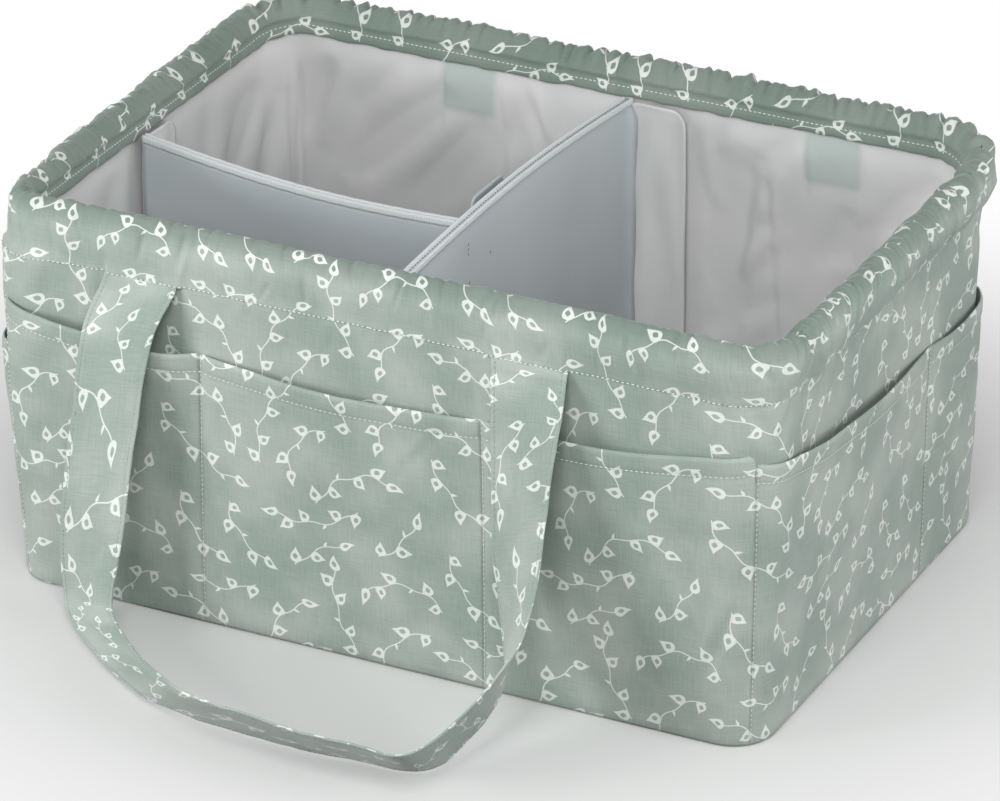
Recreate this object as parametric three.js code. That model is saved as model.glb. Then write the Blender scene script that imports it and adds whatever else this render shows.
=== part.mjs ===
// A soft nursery caddy: a stiffened cloth box with slip pockets round it, a gathered
// elastic rim, two floppy strap handles and two lift-out dividers.
// Millimetres, +Z up. The origin is the middle of the base, on the surface it stands on.
// +X runs along the long side; the front, -Y, is the side that faces the viewer.

import * as THREE from 'three';

// Overall shape

const baseLength = 388;
const baseWidth = 266;
const rimLength = 394;
const rimWidth = 269;
const rimHeight = 204;
const shortSideDip = 6;
const baseCorner = 20;
const rimCorner = 30;

// Layers of the wall, from the outside in

const clear = 0.3;
const outerCloth = 1.2;
const boardThickness = 3;
const tailCloth = 1;
const liningCloth = 0.8;
const wallDrop = 16;
const boardDrop = 4;

// Gathered rim: a cloth casing folded over the wall's top round an elastic band

const casingCloth = 1.2;
const casingSeamDrop = 29;
const casingHemDrop = 16;
const casingFoot = 2.3;
const casingBelly = 6.4;
const casingBellyDrop = 12;
const casingCrownInset = 1.5;
const gatherDepth = 1.3;
const longSideGathers = 15;
const shortSideGathers = 8;
const cornerGathers = 2;
const elasticWidth = 9;
const elasticThickness = 1.5;

// Slip pockets

const pocketCloth = 1.3;
const pocketHem = 2.2;
const pocketGape = 7.5;
const sidePocketGape = 9;
const leftPocketWidth = 105;
const rightPocketWidth = 137;
const sidePocketWidth = 77;
const pocketCornerDrop = 25;
const pocketLeftDrop = 33;
const pocketMiddleDrop = 35;
const sideCornerDrop = 30;
const sidePocketDrop = 50;
const pocketHemSag = 2;

// Strap handles, one at the front and one at the back

const strapWidth = 38;
const strapThickness = 2.4;
const strapSpan = 200;
const strapMiddle = -18;
const strapReach = 114;
const strapSeamDrop = 3.5;
const anchorHeight = 14;
const anchorThickness = 1.6;
const tailWidth = 30;
const tailHeight = 27;

// Lift-out dividers

const dividerCloth = 0.8;
const dividerBoard = 2.4;
const dividerFoot = 0.6;
const crossPlace = 8;
const crossFrontDrop = 11;
const crossBackDrop = 17;
const crossRise = 6;
const shortLeftPlace = -12;
const shortRightPlace = -32;
const shortDrop = 21;
const shortSag = 5.5;
const bindingCloth = 0.9;
const bindingHeight = 4;
const wingWidth = 34;
const wingDrop = 18;
const innerWingDrop = 7;
const tapeWidth = 20;
const tapeHeight = 90;
const tapeDrop = 28;
const tapeThickness = 1.2;

// Heights, from the rim down, and the places of the pockets' seams

const wallTop = rimHeight - wallDrop;
const boardTop = wallTop - boardDrop;
const casingSeamHeight = rimHeight - casingSeamDrop;
const casingHemHeight = rimHeight - casingHemDrop;
const casingBellyHeight = rimHeight - casingBellyDrop;
const pocketCornerHeight = casingSeamHeight - pocketCornerDrop;
const pocketLeftHeight = casingSeamHeight - pocketLeftDrop;
const pocketMiddleHeight = casingSeamHeight - pocketMiddleDrop;
const sideCornerHeight = casingSeamHeight - sideCornerDrop;
const sidePocketHeight = casingSeamHeight - sidePocketDrop;
const strapTop = casingSeamHeight - strapSeamDrop;
const crossFrontTop = rimHeight - crossFrontDrop;
const crossBackTop = rimHeight - crossBackDrop;
const shortTop = rimHeight - shortDrop;
const wingTop = rimHeight - wingDrop;
const innerWingTop = rimHeight - innerWingDrop;
const tapeTop = rimHeight - tapeDrop;
const frontSeamLeft = leftPocketWidth - baseLength / 2;
const frontSeamRight = baseLength / 2 - rightPocketWidth;
const sideSeam = baseWidth / 2 - sidePocketWidth;

// Depths of the layers under the outer cloth's face

const boardOuter = outerCloth + clear;
const boardInner = boardOuter + boardThickness;
const tailOuter = boardInner + clear;
const liningOuter = tailOuter + tailCloth + clear;
const liningInner = liningOuter + liningCloth;
const hemOuter = liningInner + clear;
const hemInner = hemOuter + casingCloth;
const hookOuter = Math.max(hemInner, hemOuter + tapeThickness) + clear;
const wingOuter = hookOuter + tapeThickness + clear;
const wingInner = wingOuter + dividerCloth;
const dividerEnd = wingInner + clear;

const floorBoardLow = outerCloth + clear;
const floorBoardHigh = floorBoardLow + boardThickness;
const floorLow = floorBoardHigh + clear;
const floorHigh = floorLow + liningCloth;

const finishes = {
  print: { color: 0x8fa598, roughness: 0.9, metalness: 0 },
  lining: { color: 0xb4b2b2, roughness: 0.8, metalness: 0 },
  divider: { color: 0x9aa6ab, roughness: 0.75, metalness: 0 },
  binding: { color: 0xc4cdce, roughness: 0.7, metalness: 0 },
  board: { color: 0xc9b48a, roughness: 0.85, metalness: 0 },
  elastic: { color: 0xe6e6e2, roughness: 0.8, metalness: 0 },
  tape: { color: 0xa9b0b2, roughness: 0.95, metalness: 0 },
};

const caddy = new THREE.Group();

function addPiece(name, geometry, finish) {
  const material = new THREE.MeshStandardMaterial(finishes[finish]);
  const piece = new THREE.Mesh(geometry, material);
  piece.name = name;
  caddy.add(piece);
  return piece;
}

// A sheet with a thickness. face(stop, rail) and back(stop, rail) give the points of its
// two faces; the edges between them are closed. A ring joins its last stop to its first.

function sheetSolid({ stops, rails, face, back, ring = false }) {
  const points = [];
  const triangles = [];
  for (let stop = 0; stop < stops; stop += 1) {
    for (let rail = 0; rail < rails; rail += 1) {
      points.push(face(stop, rail), back(stop, rail));
    }
  }
  const at = (stop, rail, side) => ((stop % stops) * rails + rail) * 2 + side;
  const quad = (a, b, c, d) => triangles.push(a, b, c, a, c, d);
  const spans = ring ? stops : stops - 1;
  for (let stop = 0; stop < spans; stop += 1) {
    for (let rail = 0; rail < rails - 1; rail += 1) {
      quad(at(stop, rail, 0), at(stop + 1, rail, 0), at(stop + 1, rail + 1, 0), at(stop, rail + 1, 0));
      quad(at(stop, rail, 1), at(stop, rail + 1, 1), at(stop + 1, rail + 1, 1), at(stop + 1, rail, 1));
    }
    const last = rails - 1;
    quad(at(stop, 0, 0), at(stop, 0, 1), at(stop + 1, 0, 1), at(stop + 1, 0, 0));
    quad(at(stop, last, 0), at(stop + 1, last, 0), at(stop + 1, last, 1), at(stop, last, 1));
  }
  if (!ring) {
    const end = stops - 1;
    for (let rail = 0; rail < rails - 1; rail += 1) {
      quad(at(0, rail, 0), at(0, rail + 1, 0), at(0, rail + 1, 1), at(0, rail, 1));
      quad(at(end, rail, 0), at(end, rail, 1), at(end, rail + 1, 1), at(end, rail + 1, 0));
    }
  }
  let volume = 0;
  for (let index = 0; index < triangles.length; index += 3) {
    const [a, b, c] = [0, 1, 2].map((corner) => points[triangles[index + corner]]);
    volume += a.dot(b.clone().cross(c));
  }
  if (volume < 0) triangles.reverse();
  const geometry = new THREE.BufferGeometry().setFromPoints(points);
  geometry.setIndex(triangles);
  geometry.computeVertexNormals();
  return geometry;
}

function lerpTable(values, share) {
  const place = share * (values.length - 1);
  const index = Math.min(Math.floor(place), values.length - 2);
  return THREE.MathUtils.lerp(values[index], values[index + 1], place - index);
}

// The outline of the caddy at a height: a rounded rectangle that widens towards the rim

const sides = {
  front: { along: new THREE.Vector3(1, 0, 0), out: new THREE.Vector3(0, -1, 0), long: true },
  right: { along: new THREE.Vector3(0, 1, 0), out: new THREE.Vector3(1, 0, 0), long: false },
  back: { along: new THREE.Vector3(-1, 0, 0), out: new THREE.Vector3(0, 1, 0), long: true },
  left: { along: new THREE.Vector3(0, -1, 0), out: new THREE.Vector3(-1, 0, 0), long: false },
};
const sideNames = Object.keys(sides);

function halfLength(z) {
  return THREE.MathUtils.lerp(baseLength, rimLength, z / rimHeight) / 2;
}

function halfWidth(z) {
  return THREE.MathUtils.lerp(baseWidth, rimWidth, z / rimHeight) / 2;
}

function cornerRadius(z) {
  return THREE.MathUtils.lerp(baseCorner, rimCorner, (z / rimHeight) ** 2);
}

function runOf(side, z) {
  return (side.long ? halfLength(z) : halfWidth(z)) - cornerRadius(z);
}

// A stop is one place on the way along a side. Corners belong half to each side.

const seamTurn = clear / (2 * (baseCorner - liningInner));
const halfCorner = Math.PI / 4 - seamTurn;

function sideStops(name, options = {}) {
  const { from = -Infinity, to = Infinity, runSteps = 2, cornerSteps = 3, turn = halfCorner } = options;
  const side = sides[name];
  const stops = [];
  const clampRun = (value, z) => THREE.MathUtils.clamp(value, -runOf(side, z), runOf(side, z));
  if (from === -Infinity) {
    for (let step = 0; step < cornerSteps; step += 1) {
      stops.push({ side, turn: turn * (step / cornerSteps - 1), along: (z) => -runOf(side, z) });
    }
  }
  for (let step = 0; step <= runSteps; step += 1) {
    const share = step / runSteps;
    const along = (z) => THREE.MathUtils.lerp(clampRun(from, z), clampRun(to, z), share);
    stops.push({ side, turn: 0, along });
  }
  if (to === Infinity) {
    for (let step = 1; step <= cornerSteps; step += 1) {
      stops.push({ side, turn: turn * (step / cornerSteps), along: (z) => runOf(side, z) });
    }
  }
  return stops;
}

// The rim dips along the short sides, most of all at the top of the wall

function dipOf({ side, turn }, z) {
  const halfway = Math.abs(turn) / (Math.PI / 2);
  const share = side.long ? halfway : 1 - halfway;
  return shortSideDip * share * (z / rimHeight) ** 3;
}

// The point at a stop and a height, a given distance outside the outer cloth's face

function wallPoint(stop, z, out) {
  const { side, turn, along } = stop;
  const radius = cornerRadius(z);
  const reach = (side.long ? halfWidth(z) : halfLength(z)) - radius;
  const push = radius + out;
  return new THREE.Vector3()
    .addScaledVector(side.out, reach + push * Math.cos(turn))
    .addScaledVector(side.along, along(z) + push * Math.sin(turn))
    .setZ(z - dipOf(stop, z));
}

// A plain layer of the wall between two depths and two heights

function wallLayer(stops, { outer, inner, low, high, rails = 4 }) {
  const heightOf = (rail) => THREE.MathUtils.lerp(low, high, rail / (rails - 1));
  return sheetSolid({
    stops: stops.length,
    rails,
    face: (stop, rail) => wallPoint(stops[stop], heightOf(rail), -outer),
    back: (stop, rail) => wallPoint(stops[stop], heightOf(rail), -inner),
  });
}

// A flat plate with round corners, inset from the outline at the floor

function basePlate(inset, low, high) {
  const x = halfLength(0) - inset;
  const y = halfWidth(0) - inset;
  const radius = cornerRadius(0) - inset;
  const outline = new THREE.Shape();
  outline.moveTo(radius - x, -y);
  outline.lineTo(x - radius, -y);
  outline.absarc(x - radius, radius - y, radius, -Math.PI / 2, 0, false);
  outline.lineTo(x, y - radius);
  outline.absarc(x - radius, y - radius, radius, 0, Math.PI / 2, false);
  outline.lineTo(radius - x, y);
  outline.absarc(radius - x, y - radius, radius, Math.PI / 2, Math.PI, false);
  outline.lineTo(-x, radius - y);
  outline.absarc(radius - x, radius - y, radius, Math.PI, 1.5 * Math.PI, false);
  const plate = new THREE.ExtrudeGeometry(outline, {
    depth: high - low,
    bevelEnabled: false,
    curveSegments: 4,
  });
  return plate.translate(0, 0, low);
}

// Shell: outer cloth, boards and lining

function addShell() {
  for (const name of sideNames) {
    const wrap = sideStops(name);
    const boardReach = (sides[name].long ? baseLength : baseWidth) / 2 - rimCorner;
    const flat = sideStops(name, { from: -boardReach, to: boardReach, runSteps: 1 });
    addPiece(
      `outer_${name}`,
      wallLayer(wrap, { outer: 0, inner: outerCloth, low: 0, high: wallTop }),
      'print',
    );
    addPiece(
      `board_${name}`,
      wallLayer(flat, { outer: boardOuter, inner: boardInner, low: floorLow, high: boardTop, rails: 2 }),
      'board',
    );
    addPiece(
      `lining_${name}`,
      wallLayer(wrap, { outer: liningOuter, inner: liningInner, low: floorLow, high: wallTop }),
      'lining',
    );
  }
  addPiece('outer_base', basePlate(outerCloth + clear, 0, outerCloth), 'print');
  addPiece('board_base', basePlate(outerCloth + clear, floorBoardLow, floorBoardHigh), 'board');
  addPiece('lining_base', basePlate(liningInner + clear, floorLow, floorHigh), 'lining');
}

// Slip pockets. Each is sewn down at its two side seams and the base, and its hemmed
// top edge stands off the wall between the seams.

const frontPockets = [
  { label: 'a', to: frontSeamLeft, tops: [pocketCornerHeight, pocketLeftHeight] },
  { label: 'b', from: frontSeamLeft, to: frontSeamRight, tops: [pocketLeftHeight, pocketMiddleHeight] },
  { label: 'c', from: frontSeamRight, tops: [pocketMiddleHeight, pocketCornerHeight] },
];
const sidePockets = [
  { label: 'a', to: sideSeam, tops: [sideCornerHeight, sidePocketHeight], gape: sidePocketGape },
  { label: 'b', from: sideSeam, tops: [sidePocketHeight, sidePocketHeight], gape: sidePocketGape },
];

function pocketSheet(sideName, { from, to, tops, gape = pocketGape }) {
  const halfGap = clear / 2;
  const stops = sideStops(sideName, {
    from: from === undefined ? -Infinity : from + halfGap,
    to: to === undefined ? Infinity : to - halfGap,
    runSteps: 6,
    cornerSteps: 3,
  });
  const railShares = [0, 0.3, 0.6, 0.8, 0.93, 1];
  const middle = casingSeamHeight / 2;
  const travel = [0];
  for (let stop = 1; stop < stops.length; stop += 1) {
    const step = wallPoint(stops[stop], middle, 0).distanceTo(wallPoint(stops[stop - 1], middle, 0));
    travel.push(travel[stop - 1] + step);
  }
  const shareOf = (stop) => travel[stop] / travel[stops.length - 1];
  const heightOf = (stop, rail) => {
    const share = shareOf(stop);
    const top = lerpTable(tops, share) - pocketHemSag * Math.sin(Math.PI * share);
    return top * railShares[rail];
  };
  const outOf = (stop, rail) => clear + gape * Math.sin(Math.PI * shareOf(stop)) * railShares[rail] ** 1.6;
  const last = railShares.length - 1;
  const cloth = (rail) => (rail >= last - 1 ? pocketHem : pocketCloth);
  return sheetSolid({
    stops: stops.length,
    rails: railShares.length,
    face: (stop, rail) => wallPoint(stops[stop], heightOf(stop, rail), outOf(stop, rail) + cloth(rail)),
    back: (stop, rail) => wallPoint(stops[stop], heightOf(stop, rail), outOf(stop, rail)),
  });
}

function addPockets() {
  for (const name of sideNames) {
    for (const pocket of sides[name].long ? frontPockets : sidePockets) {
      addPiece(`pocket_${name}_${pocket.label}`, pocketSheet(name, pocket), 'print');
    }
  }
}

// Rim: the casing's section is a fold over the wall's top, drawn as its outer face from
// the seam outside to the hem inside. Every other stop stands proud, as a gather does.

function rimStops() {
  const stops = [];
  for (const name of sideNames) {
    const runSteps = 2 * (sides[name].long ? longSideGathers : shortSideGathers);
    const around = sideStops(name, { runSteps, cornerSteps: 2 * cornerGathers, turn: Math.PI / 4 });
    stops.push(...around.slice(0, -1));
  }
  return stops;
}

const casingPath = new THREE.CatmullRomCurve3([
  new THREE.Vector3(casingFoot + casingCloth, casingSeamHeight, 0),
  new THREE.Vector3(casingBelly, (casingSeamHeight + casingBellyHeight) / 2, 0.5 * gatherDepth),
  new THREE.Vector3(casingBelly + casingCloth, casingBellyHeight, gatherDepth),
  new THREE.Vector3(-casingCrownInset, rimHeight - gatherDepth, gatherDepth),
  new THREE.Vector3(-hemInner, (rimHeight + casingHemHeight) / 2, 0),
  new THREE.Vector3(-hemInner, casingHemHeight, 0),
]);

function casingSolid() {
  const stops = rimStops();
  const rails = 9;
  const section = [];
  for (let rail = 0; rail < rails; rail += 1) {
    const point = casingPath.getPoint(rail / (rails - 1));
    const tangent = casingPath.getTangent(rail / (rails - 1)).setZ(0).normalize();
    const outward = new THREE.Vector2(tangent.y, -tangent.x);
    section.push({ out: point.x, height: point.y, gather: point.z, outward });
  }
  const pointAt = (stop, rail, depth) => {
    const { out, height, gather, outward } = section[rail];
    const lift = (stop % 2 === 0 ? gather : -gather) - depth;
    const reach = Math.max(out + outward.x * lift, depth - hemInner);
    return wallPoint(stops[stop], height + outward.y * lift, reach);
  };
  return sheetSolid({
    stops: stops.length,
    rails,
    ring: true,
    face: (stop, rail) => pointAt(stop, rail, 0),
    back: (stop, rail) => pointAt(stop, rail, casingCloth),
  });
}

function addRim() {
  addPiece('rim_casing', casingSolid(), 'print');
  const stops = rimStops();
  const inner = (boardInner + elasticThickness) / 2;
  const low = wallTop + clear;
  const elastic = sheetSolid({
    stops: stops.length,
    rails: 2,
    ring: true,
    face: (stop, rail) => wallPoint(stops[stop], low + rail * elasticWidth, elasticThickness - inner),
    back: (stop, rail) => wallPoint(stops[stop], low + rail * elasticWidth, -inner),
  });
  addPiece('rim_elastic', elastic, 'elastic');
}

// Handles. A strap hangs from its left seam, curls out along the floor on its edge and
// climbs back with half a turn to its right seam. The rows give the two edges of the
// strap as shares of its span, of its reach in front of the wall and of its drop.

const leftEdgeShares = [
  [-0.6, 0, 1], [-0.632, 0.075, 0.86], [-0.65, 0.12, 0.64], [-0.672, 0.175, 0.34],
  [-0.67, 0.17, 0.08], [-0.645, 0.23, 0.02], [-0.53, 0.41, 0.01], [-0.4, 0.57, 0.01],
  [-0.22, 0.72, 0.01], [0.06, 0.76, 0.01], [0.31, 0.745, 0.01], [0.445, 0.68, 0.01],
  [0.485, 0.44, 0.04], [0.5, 0.24, 0.12], [0.47, 0.14, 0.25], [0.43, 0.095, 0.46],
  [0.42, 0.07, 0.68], [0.415, 0.05, 0.86], [0.4, 0, 1],
];
const rightEdgeShares = [
  [-0.4, 0, 1], [-0.437, 0.085, 0.88], [-0.457, 0.15, 0.68], [-0.477, 0.215, 0.38],
  [-0.508, 0.27, 0.14], [-0.47, 0.355, 0.1], [-0.36, 0.56, 0.12], [-0.26, 0.72, 0.13],
  [-0.1, 0.91, 0.16], [0.14, 0.975, 0.16], [0.37, 0.985, 0.155], [0.475, 0.95, 0.16],
  [0.52, 0.71, 0.2], [0.57, 0.52, 0.28], [0.6, 0.36, 0.38], [0.605, 0.23, 0.57],
  [0.605, 0.15, 0.77], [0.605, 0.085, 0.9], [0.6, 0, 1],
];

const strapAxisOut = clear + anchorThickness + clear + strapThickness / 2;
const strapAxisY = halfWidth(strapTop) + strapAxisOut;

function strapEdge(shares) {
  const lowest = strapThickness / 2 + clear;
  const points = shares.map(([across, out, up]) => new THREE.Vector3(
    strapMiddle + across * strapSpan,
    -strapAxisY - out * strapReach,
    lowest + up * (strapTop - lowest),
  ));
  return new THREE.CatmullRomCurve3(points, false, 'centripetal');
}

function strapSolid() {
  const leftEdge = strapEdge(leftEdgeShares);
  const rightEdge = strapEdge(rightEdgeShares);
  const steps = 3 * (leftEdgeShares.length - 1);
  const rails = 3;
  const rows = [];
  for (let step = 0; step <= steps; step += 1) {
    const share = step / steps;
    const left = leftEdge.getPoint(share);
    const right = rightEdge.getPoint(share);
    const middle = left.clone().add(right).divideScalar(2);
    const across = right.clone().sub(left).setLength(strapWidth / 2);
    const travel = leftEdge.getTangent(share).add(rightEdge.getTangent(share));
    const normal = across.clone().cross(travel).setLength(strapThickness / 2);
    rows.push({ middle, across, normal });
  }
  const pointAt = (stop, rail, side) => {
    const { middle, across, normal } = rows[stop];
    return middle.clone().addScaledVector(across, rail - 1).addScaledVector(normal, side);
  };
  return sheetSolid({
    stops: rows.length,
    rails,
    face: (stop, rail) => pointAt(stop, rail, 1),
    back: (stop, rail) => pointAt(stop, rail, -1),
  });
}

const strapEnds = { left: strapMiddle - strapSpan / 2, right: strapMiddle + strapSpan / 2 };

function addHandles() {
  for (const name of ['front', 'back']) {
    const strap = strapSolid();
    if (name === 'back') strap.rotateZ(Math.PI);
    addPiece(`${name}_handle`, strap, 'print');
    for (const [label, end] of Object.entries(strapEnds)) {
      const anchorStops = sideStops(name, {
        from: end - strapWidth / 2,
        to: end + strapWidth / 2,
        runSteps: 1,
      });
      const tailStops = sideStops(name, {
        from: end - tailWidth / 2,
        to: end + tailWidth / 2,
        runSteps: 1,
      });
      const low = strapTop - strapThickness / 2;
      addPiece(
        `${name}_handle_anchor_${label}`,
        wallLayer(anchorStops, {
          outer: -clear - anchorThickness,
          inner: -clear,
          low,
          high: low + anchorHeight,
        }),
        'print',
      );
      addPiece(
        `${name}_handle_tail_${label}`,
        wallLayer(tailStops, {
          outer: tailOuter,
          inner: tailOuter + tailCloth,
          low: wallTop - tailHeight,
          high: wallTop,
          rails: 2,
        }),
        'print',
      );
    }
  }
}

// Dividers. A board stands in a cloth sleeve with a bound top edge. At each end the
// cloth turns into a wing that lies flat on what it meets and holds there by a strip of
// hook tape on a strip of loop tape.

const sleeveHalf = dividerBoard / 2 + clear + dividerCloth;
const bindingHalf = sleeveHalf + clear + bindingCloth;

// A fold of cloth over a line: low(t) and high(t) are the heights of its two hems and of
// its crest at a share t of the way, and end(t, z) gives the place of the line in plan.

function foldSolid({ steps, half, cloth, low, high, place, normal }) {
  const railOut = [-1, -1, 1, 1];
  const railUp = [0, 1, 1, 0];
  const pointAt = (stop, rail, thin) => {
    const share = stop / steps;
    const top = high(share) - thin;
    const z = THREE.MathUtils.lerp(low(share), top, railUp[rail]);
    return place(share, z).addScaledVector(normal, railOut[rail] * (half - thin)).setZ(z);
  };
  return sheetSolid({
    stops: steps + 1,
    rails: railOut.length,
    face: (stop, rail) => pointAt(stop, rail, 0),
    back: (stop, rail) => pointAt(stop, rail, cloth),
  });
}

function slabSolid({ steps, half, low, high, place, normal }) {
  const pointAt = (stop, rail, side) => {
    const share = stop / steps;
    const z = rail === 0 ? low(share) : high(share);
    return place(share, z).addScaledVector(normal, side * half).setZ(z);
  };
  return sheetSolid({
    stops: steps + 1,
    rails: 2,
    face: (stop, rail) => pointAt(stop, rail, -1),
    back: (stop, rail) => pointAt(stop, rail, 1),
  });
}

function addDividerBody(name, { high, place, normal }) {
  const steps = 8;
  const foot = floorHigh + dividerFoot;
  const board = slabSolid({
    steps,
    half: dividerBoard / 2,
    low: () => foot,
    high: (share) => high(share) - dividerCloth - clear,
    place,
    normal,
  });
  const cover = foldSolid({
    steps,
    half: sleeveHalf,
    cloth: dividerCloth,
    low: () => foot,
    high,
    place,
    normal,
  });
  const binding = foldSolid({
    steps,
    half: bindingHalf,
    cloth: bindingCloth,
    low: (share) => high(share) - bindingHeight,
    high: (share) => high(share) + clear + bindingCloth,
    place,
    normal,
  });
  addPiece(`${name}_board`, board, 'board');
  addPiece(`${name}_cover`, cover, 'divider');
  addPiece(`${name}_binding`, binding, 'binding');
}

// A strip standing on one wall of the caddy, between two depths

function wallStrip(sideName, from, to, { outer, inner, low, high }) {
  const stops = sideStops(sideName, { from, to, runSteps: 1 });
  return wallLayer(stops, { outer, inner, low, high, rails: 2 });
}

function addWing(owner, label, sideName, from, to) {
  const middle = (from + to) / 2;
  const low = tapeTop - tapeHeight;
  const strip = { low, high: tapeTop };
  const foot = floorHigh + dividerFoot;
  const hook = wallStrip(sideName, middle - tapeWidth / 2, middle + tapeWidth / 2, {
    outer: hookOuter,
    inner: hookOuter + tapeThickness,
    ...strip,
  });
  const loop = wallStrip(sideName, middle - tapeWidth / 2, middle + tapeWidth / 2, {
    outer: hemOuter,
    inner: hemOuter + tapeThickness,
    ...strip,
  });
  const wing = wallStrip(sideName, from, to, {
    outer: wingOuter,
    inner: wingInner,
    low: foot,
    high: wingTop,
  });
  addPiece(`${owner}_wing_${label}`, wing, 'divider');
  addPiece(`${owner}_hook_tape_${label}`, hook, 'tape');
  addPiece(`loop_tape_${label}`, loop, 'tape');
}

function addCrossDivider() {
  const endAt = (z) => halfWidth(z) - dividerEnd;
  addDividerBody('cross_divider', {
    high: (share) => THREE.MathUtils.lerp(crossFrontTop, crossBackTop, share)
      + crossRise * Math.sin(Math.PI * share),
    place: (share, z) => new THREE.Vector3(crossPlace, THREE.MathUtils.lerp(-endAt(z), endAt(z), share), 0),
    normal: new THREE.Vector3(1, 0, 0),
  });
  const near = crossPlace - sleeveHalf;
  addWing('cross_divider', 'front', 'front', near, near + wingWidth);
  addWing('cross_divider', 'back', 'back', -near - wingWidth, -near);
}

// The short divider runs askew, from the middle of the left side to a place on the cross
// divider that lies nearer the front.

function addShortDivider() {
  const crossFace = crossPlace - sleeveHalf;
  const loopX = crossFace - clear;
  const hookX = loopX - tapeThickness - clear;
  const wingX = Math.min(hookX - tapeThickness, crossPlace - bindingHalf) - clear;
  const rightEnd = wingX - dividerCloth - clear;
  addDividerBody('short_divider', {
    high: (share) => shortTop - shortSag * Math.sin(Math.PI * share),
    place: (share, z) => new THREE.Vector3(
      THREE.MathUtils.lerp(dividerEnd - halfLength(z), rightEnd, share),
      THREE.MathUtils.lerp(shortLeftPlace, shortRightPlace, share),
      0,
    ),
    normal: new THREE.Vector3(0, 1, 0),
  });
  const leftNear = shortLeftPlace - sleeveHalf;
  const near = shortRightPlace - sleeveHalf;
  addWing('short_divider', 'left', 'left', -leftNear - wingWidth, -leftNear);

  const upright = (x, thickness, y, width, low, high) => slabSolid({
    steps: 1,
    half: thickness / 2,
    low: () => low,
    high: () => high,
    place: (share) => new THREE.Vector3(x - thickness / 2, y + share * width, 0),
    normal: new THREE.Vector3(1, 0, 0),
  });
  const foot = floorHigh + dividerFoot;
  const tapeY = near + (wingWidth - tapeWidth) / 2;
  const tapeLow = tapeTop - tapeHeight;
  const wing = upright(wingX, dividerCloth, near, wingWidth, foot, innerWingTop);
  const hook = upright(hookX, tapeThickness, tapeY, tapeWidth, tapeLow, tapeTop);
  const loop = upright(loopX, tapeThickness, tapeY, tapeWidth, tapeLow, tapeTop);
  addPiece('short_divider_wing_right', wing, 'divider');
  addPiece('short_divider_hook_tape_right', hook, 'tape');
  addPiece('cross_divider_loop_tape', loop, 'tape');
}

addShell();
addPockets();
addRim();
addHandles();
addCrossDivider();
addShortDivider();

export default caddy;
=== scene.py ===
# %% [markdown]
# # A cloth nursery caddy
# The real thing is a box of printed cotton stiffened with boards. It has slip pockets all
# round, a rim gathered on elastic, two strap handles and two dividers that lift out.
# Nearly every visible surface is cloth, so nearly every piece here starts the same way:
# a flat grid, cut to a real size, that is wrapped round the caddy one vertex at a time.
# Its UV map keeps the flat cut in metres, so the print and the weave follow the cloth.

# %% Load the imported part
import math
import random

import bmesh
import bpy
from mathutils import Matrix, Vector, noise


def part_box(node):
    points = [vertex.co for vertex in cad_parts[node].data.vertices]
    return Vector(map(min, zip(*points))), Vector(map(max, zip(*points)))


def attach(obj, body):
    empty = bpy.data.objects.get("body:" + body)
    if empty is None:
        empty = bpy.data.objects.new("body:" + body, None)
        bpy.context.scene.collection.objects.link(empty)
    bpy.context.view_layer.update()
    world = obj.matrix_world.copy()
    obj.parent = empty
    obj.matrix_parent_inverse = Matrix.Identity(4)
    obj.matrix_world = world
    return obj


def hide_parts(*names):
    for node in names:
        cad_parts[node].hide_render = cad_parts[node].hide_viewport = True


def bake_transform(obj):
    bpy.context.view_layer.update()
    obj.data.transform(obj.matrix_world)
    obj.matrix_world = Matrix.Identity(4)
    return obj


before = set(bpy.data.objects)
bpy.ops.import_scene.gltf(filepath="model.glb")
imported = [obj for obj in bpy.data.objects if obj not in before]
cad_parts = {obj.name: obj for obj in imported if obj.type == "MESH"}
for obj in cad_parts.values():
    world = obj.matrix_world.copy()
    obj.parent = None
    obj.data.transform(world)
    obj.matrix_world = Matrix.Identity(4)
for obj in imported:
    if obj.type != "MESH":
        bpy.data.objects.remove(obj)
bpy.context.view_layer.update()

MM = 0.001

# %% [markdown]
# The caddy's outline is a rounded rectangle that widens a little towards the rim, and the
# rim dips along the short sides. The sizes below are the part's own, in metres. How far the
# outline's length at the wall's top is off the imported right wall's box is printed, so a
# slip there shows at once.

# %% Sizes of the body
BASE_LENGTH, BASE_WIDTH = 0.388, 0.266
RIM_LENGTH, RIM_WIDTH = 0.394, 0.269
RIM_HEIGHT = 0.204
BASE_CORNER, RIM_CORNER = 0.020, 0.030
WALL_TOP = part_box("outer_front")[1].z
RIM_DIP = (WALL_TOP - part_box("board_right")[1].z - 4 * MM) / (WALL_TOP / RIM_HEIGHT) ** 3
CASING_SEAM = 0.175


def lerp(a, b, share):
    return a + (b - a) * share


def smooth(share):
    share = min(max(share, 0.0), 1.0)
    return share * share * (3 - 2 * share)


def half_sizes(z):
    share = z / RIM_HEIGHT
    return lerp(BASE_LENGTH, RIM_LENGTH, share) / 2, lerp(BASE_WIDTH, RIM_WIDTH, share) / 2


def corner_radius(z):
    return lerp(BASE_CORNER, RIM_CORNER, (z / RIM_HEIGHT) ** 2)


print(f"rim dips {RIM_DIP / MM:.1f} mm on the short sides")
print(f"outline is off the part by {(half_sizes(WALL_TOP)[0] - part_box('outer_right')[1].x) / MM:.3f} mm")

# %% [markdown]
# A place on the wall is given by how far round the caddy it is, how high, and how far it
# stands outside the outer cloth. The distance round starts at the middle of the front and
# runs to the right, so on the front it is simply x. A cloth ring is cut open at the middle
# of the back, so its distances run from minus half a ring to plus half.

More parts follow.
